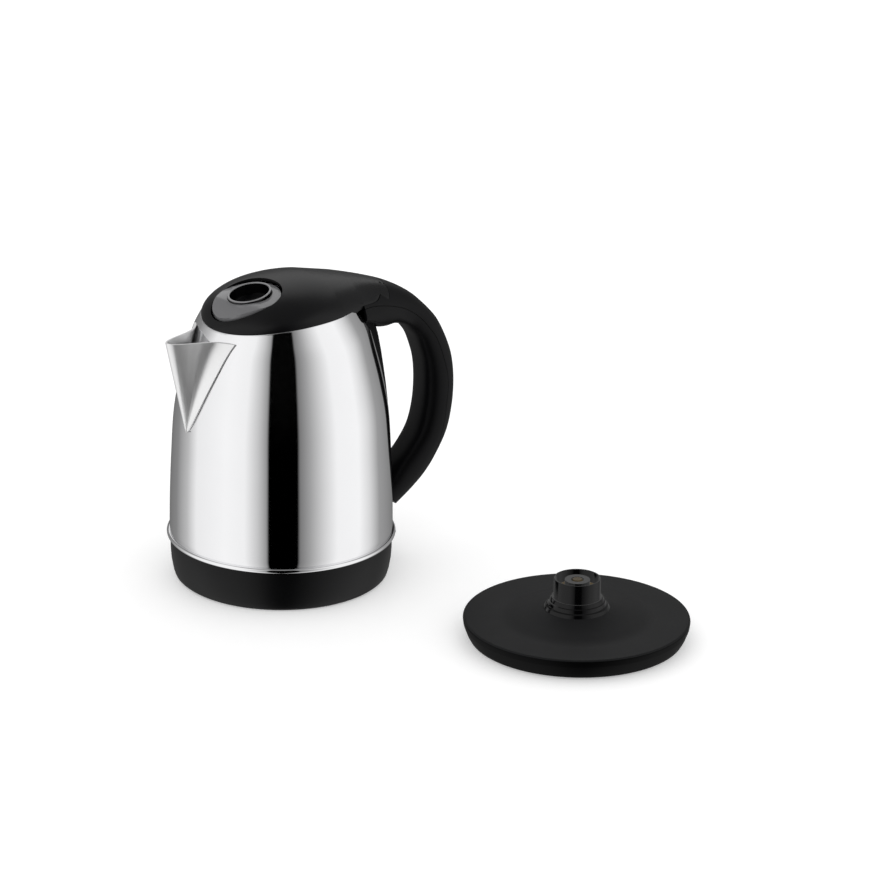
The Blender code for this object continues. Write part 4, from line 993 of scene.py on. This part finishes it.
# ---------------------------------------------------------------- power base
def make_base():
    floor = FOOT_DROP
    seat = BASE_EDGE_Z
    top = [
        (POST_RADIUS + GAP, BASE_NECK_Z),
        (POST_RADIUS + 1.6 * MM, BASE_NECK_Z),
        (POST_RADIUS + 2.6 * MM, BASE_NECK_Z - 2.6 * MM),
        (POST_RADIUS + 3.4 * MM, BASE_NECK_Z - 2.9 * MM),
        (POST_RADIUS + 3.9 * MM, BASE_NECK_Z - 5.4 * MM),
        (BASE_CONE_RADIUS - 1.2 * MM, BASE_NECK_Z - 5.9 * MM),
        (BASE_CONE_RADIUS, BASE_CONE_Z),
        (BASE_SEAT_RADIUS - 8 * MM, seat + 2.45 * MM),
        (BASE_SEAT_RADIUS - 5 * MM, seat + 1.72 * MM),
        (BASE_SEAT_RADIUS - 2 * MM, seat + 1.05 * MM),
        (BASE_SEAT_RADIUS + 0.5 * MM, seat + 0.55 * MM),
        (BASE_SEAT_RADIUS + 3 * MM, seat + 0.2 * MM),
        (BASE_SEAT_RADIUS + 6 * MM, seat),
        (BASE_RADIUS - 1.4 * MM, seat),
        (BASE_RADIUS - 0.4 * MM, seat - 0.4 * MM),
        (BASE_RADIUS, seat - 1.4 * MM),
        (BASE_RADIUS - 0.5 * MM, seat - 5 * MM),
        (BASE_FOOT_RADIUS + 1.2 * MM, floor + 3.2 * MM),
        (BASE_FOOT_RADIUS - 0.6 * MM, floor),
    ]
    under = [
        (BASE_FOOT_RADIUS - 0.6 * MM - BASE_WALL, floor),
        (BASE_RADIUS - BASE_WALL - 0.5 * MM, seat - BASE_WALL - 1 * MM),
        (BASE_SEAT_RADIUS, seat - BASE_WALL),
        (BASE_CONE_RADIUS - BASE_WALL, BASE_CONE_Z - BASE_WALL),
        (POST_RADIUS + GAP, BASE_CONE_Z - BASE_WALL),
    ]
    cover = draft("base_cover", turned_mesh("base_cover", rounded(top + under, 0.45 * MM)))
    gland_z = floor + 6.5 * MM
    gland_x = BASE_RADIUS - 4.5 * MM
    hole = [(0, 6 * MM), (4.2 * MM, 6 * MM), (4.2 * MM, -6 * MM), (0, -6 * MM)]
    place = Matrix.Translation((gland_x, 0, gland_z)) @ Matrix.Rotation(math.pi / 2, 4, "Y")
    boolean(cover, tool("gland_hole", turned_mesh("gland_hole", hole, 48), place))
    made = finish_piece(cover, BASE, LOOKS["base_black"], "power_base", ["base_cover"], 30)
    # The side wall gets a darker copy of the black, painted shade where it leans in and faces down, and the
    # stepped neck is glossy
    made.data.materials.append(LOOKS["painted_shade_side"])
    made.data.materials.append(LOOKS["gloss_black"])
    for face in made.data.polygons:
        here = face.center - BASE
        if here.z < seat - 0.9 * MM:
            face.material_index = 1
        elif here.z > BASE_CONE_Z + 0.3 * MM:
            face.material_index = 2

    plate_top = floor + 1.8 * MM
    flange = POST_RADIUS + 3 * MM
    flange_z = BASE_CONE_Z - BASE_WALL - GAP
    collar = [
        (POST_RADIUS - POST_WALL, POST_TOP_Z),
        (POST_RADIUS, POST_TOP_Z),
        (POST_RADIUS, flange_z),
        (flange, flange_z),
        (flange, plate_top + GAP),
        (POST_RADIUS - POST_WALL, plate_top + GAP),
    ]
    collar = draft("connector_collar", turned_mesh("connector_collar", rounded(collar, 0.35 * MM), MIDDLE))
    finish_piece(collar, BASE, LOOKS["gloss_black"], "power_base", ["connector_collar"], 50)


make_body()
make_spout()
make_skirt()
make_handle()
make_lid()
make_hinge_cap()
make_lip()
make_base()
for cutter in CUTTERS:
    bpy.data.objects.remove(cutter, do_unlink=True)


# ---------------------------------------------------------------- floor, light and camera
def studio_world():
    """What mirrors see goes by compass direction, as dark and pale flats. All else sees an even pale room."""
    world = bpy.data.worlds.new("studio")
    bpy.context.scene.world = world
    world.use_nodes = True
    tree = world.node_tree
    tree.nodes.clear()
    coords = tree.nodes.new("ShaderNodeTexCoord")
    split = tree.nodes.new("ShaderNodeSeparateXYZ")
    # Compass angle from the camera's side of the jug, as a share of a full turn, 0.5 straight at the camera
    toward = math.atan2(-math.cos(LOOK_TURN), -math.sin(LOOK_TURN))
    turned = tree.nodes.new("ShaderNodeVectorRotate")
    turned.rotation_type = "Z_AXIS"
    turned.inputs["Angle"].default_value = -toward
    tree.links.new(coords.outputs["Generated"], turned.inputs["Vector"])
    tree.links.new(turned.outputs["Vector"], split.inputs[0])
    angle = tree.nodes.new("ShaderNodeMath")
    angle.operation = "ARCTAN2"
    tree.links.new(split.outputs["Y"], angle.inputs[0])
    tree.links.new(split.outputs["X"], angle.inputs[1])
    share = tree.nodes.new("ShaderNodeMath")
    share.operation = "MULTIPLY_ADD"
    share.inputs[1].default_value = 1 / (2 * math.pi)
    share.inputs[2].default_value = 0.5
    tree.links.new(angle.outputs[0], share.inputs[0])
    ramp = tree.nodes.new("ShaderNodeValToRGB")
    tree.links.new(share.outputs[0], ramp.inputs["Fac"])
    marks = ramp.color_ramp.elements
    for degrees, value in FLATS[1:-1]:
        marks.new(0.5 + degrees / 360).color = (value, value, value, 1.0)
    marks[0].color = (*[FLATS[0][1]] * 3, 1.0)
    marks[-1].color = (*[FLATS[-1][1]] * 3, 1.0)
    # Overhead is a dull grey, so the flats fade out high up
    height = tree.nodes.new("ShaderNodeMapRange")
    height.interpolation_type = "SMOOTHSTEP"
    height.inputs["From Min"].default_value = FADE_LOW
    height.inputs["From Max"].default_value = FADE_HIGH
    tree.links.new(split.outputs["Z"], height.inputs["Value"])
    fade = tree.nodes.new("ShaderNodeMix")
    fade.data_type = "RGBA"
    fade.inputs[7].default_value = (CEILING, CEILING, CEILING, 1.0)
    tree.links.new(height.outputs["Result"], fade.inputs["Factor"])
    tree.links.new(ramp.outputs["Color"], fade.inputs[6])
    path = tree.nodes.new("ShaderNodeLightPath")
    pick = tree.nodes.new("ShaderNodeMix")
    pick.data_type = "RGBA"
    pick.inputs[6].default_value = (ROOM, ROOM, ROOM, 1.0)
    tree.links.new(path.outputs["Is Glossy Ray"], pick.inputs["Factor"])
    tree.links.new(fade.outputs[2], pick.inputs[7])
    back = tree.nodes.new("ShaderNodeBackground")
    tree.links.new(pick.outputs[2], back.inputs["Color"])
    out = tree.nodes.new("ShaderNodeOutputWorld")
    tree.links.new(back.outputs[0], out.inputs["Surface"])


# Camera: a long lens, level across, looking down a little; its heading is measured from +Y towards +X
LOOK_TURN = math.radians(31.5)
LOOK_DOWN = math.radians(20.83)
STAND_OFF = 3.24524  # from the jug's axis, along the floor
EYE_HEIGHT = 1.3364
LENS = 206.9
SHIFT = 0.1768

# Degrees round from the camera's side, positive to the camera's right, and the brightness seen there
FLATS = [(-180, 0.14), (-138, 0.26), (-114, 0.55), (-98, 0.95), (-60, 1.05), (-38, 1.0), (-24, 0.64)]
FLATS += [(-14.5, 0.32), (-13.2, 0.0), (17.8, 0.0), (18.6, 0.2), (30, 0.4), (46, 0.75), (60, 1.02)]
FLATS += [(88, 1.05), (104, 0.78), (122, 0.36), (180, 0.14)]
FADE_LOW = 0.84  # sine of the height at which the flats start to fade
FADE_HIGH = 0.98
CEILING = 0.28
ROOM = 0.92

studio_world()

ground = bpy.data.meshes.new("floor")
side = 6.0
corners = [(-side, -side, 0), (side, -side, 0), (side, side, 0), (-side, side, 0)]
ground.from_pydata(corners, [], [(0, 1, 2, 3)])
ground_obj = bpy.data.objects.new("floor", ground)
bpy.context.scene.collection.objects.link(ground_obj)
paper = bpy.data.materials.new("paper_floor")
paper.use_nodes = True
shade = paper.node_tree.nodes["Principled BSDF"]
shade.inputs["Base Color"].default_value = (0.80, 0.80, 0.80, 1.0)
shade.inputs["Roughness"].default_value = 0.9
shade.inputs["Specular IOR Level"].default_value = 0.0
shade.inputs["Emission Color"].default_value = (1.0, 1.0, 1.0, 1.0)
shade.inputs["Emission Strength"].default_value = 0.34
ground.materials.append(paper)
ground_obj.visible_glossy = False


def softbox(name, place, aim, size, power):
    """A rectangular area light at a place, turned towards its aim."""
    lamp = bpy.data.lights.new(name, "AREA")
    lamp.shape = "RECTANGLE"
    lamp.size, lamp.size_y = size
    lamp.energy = power
    made = bpy.data.objects.new(name, lamp)
    bpy.context.scene.collection.objects.link(made)
    made.location = place
    made.rotation_euler = (Vector(aim) - Vector(place)).to_track_quat("-Z", "Y").to_euler()


softbox("back_box", place=(0.64, 1.15, 0.95), aim=(-0.05, 0.08, 0.15), size=(1.3, 0.9), power=2.4)

lens = bpy.data.cameras.new("camera")
lens.sensor_width = 36.0
lens.lens = LENS
lens.shift_x = SHIFT
lens.clip_end = 30.0
eye = bpy.data.objects.new("camera", lens)
bpy.context.scene.collection.objects.link(eye)
heading = Vector((math.sin(LOOK_TURN), math.cos(LOOK_TURN), 0.0))
eye.location = JUG - STAND_OFF * heading + Vector((0.0, 0.0, EYE_HEIGHT))
eye.rotation_euler = (math.pi / 2 - LOOK_DOWN, 0.0, -LOOK_TURN)
bpy.context.scene.camera = eye
bpy.context.scene.view_settings.view_transform = "Standard"

# The steel doesn't mirror the base, so its reflections stay clean
for piece in bpy.context.scene.objects:
    if piece.type == "MESH" and body_of(piece) == ["power_base"]:
        piece.visible_glossy = False

bpy.context.view_layer.update()
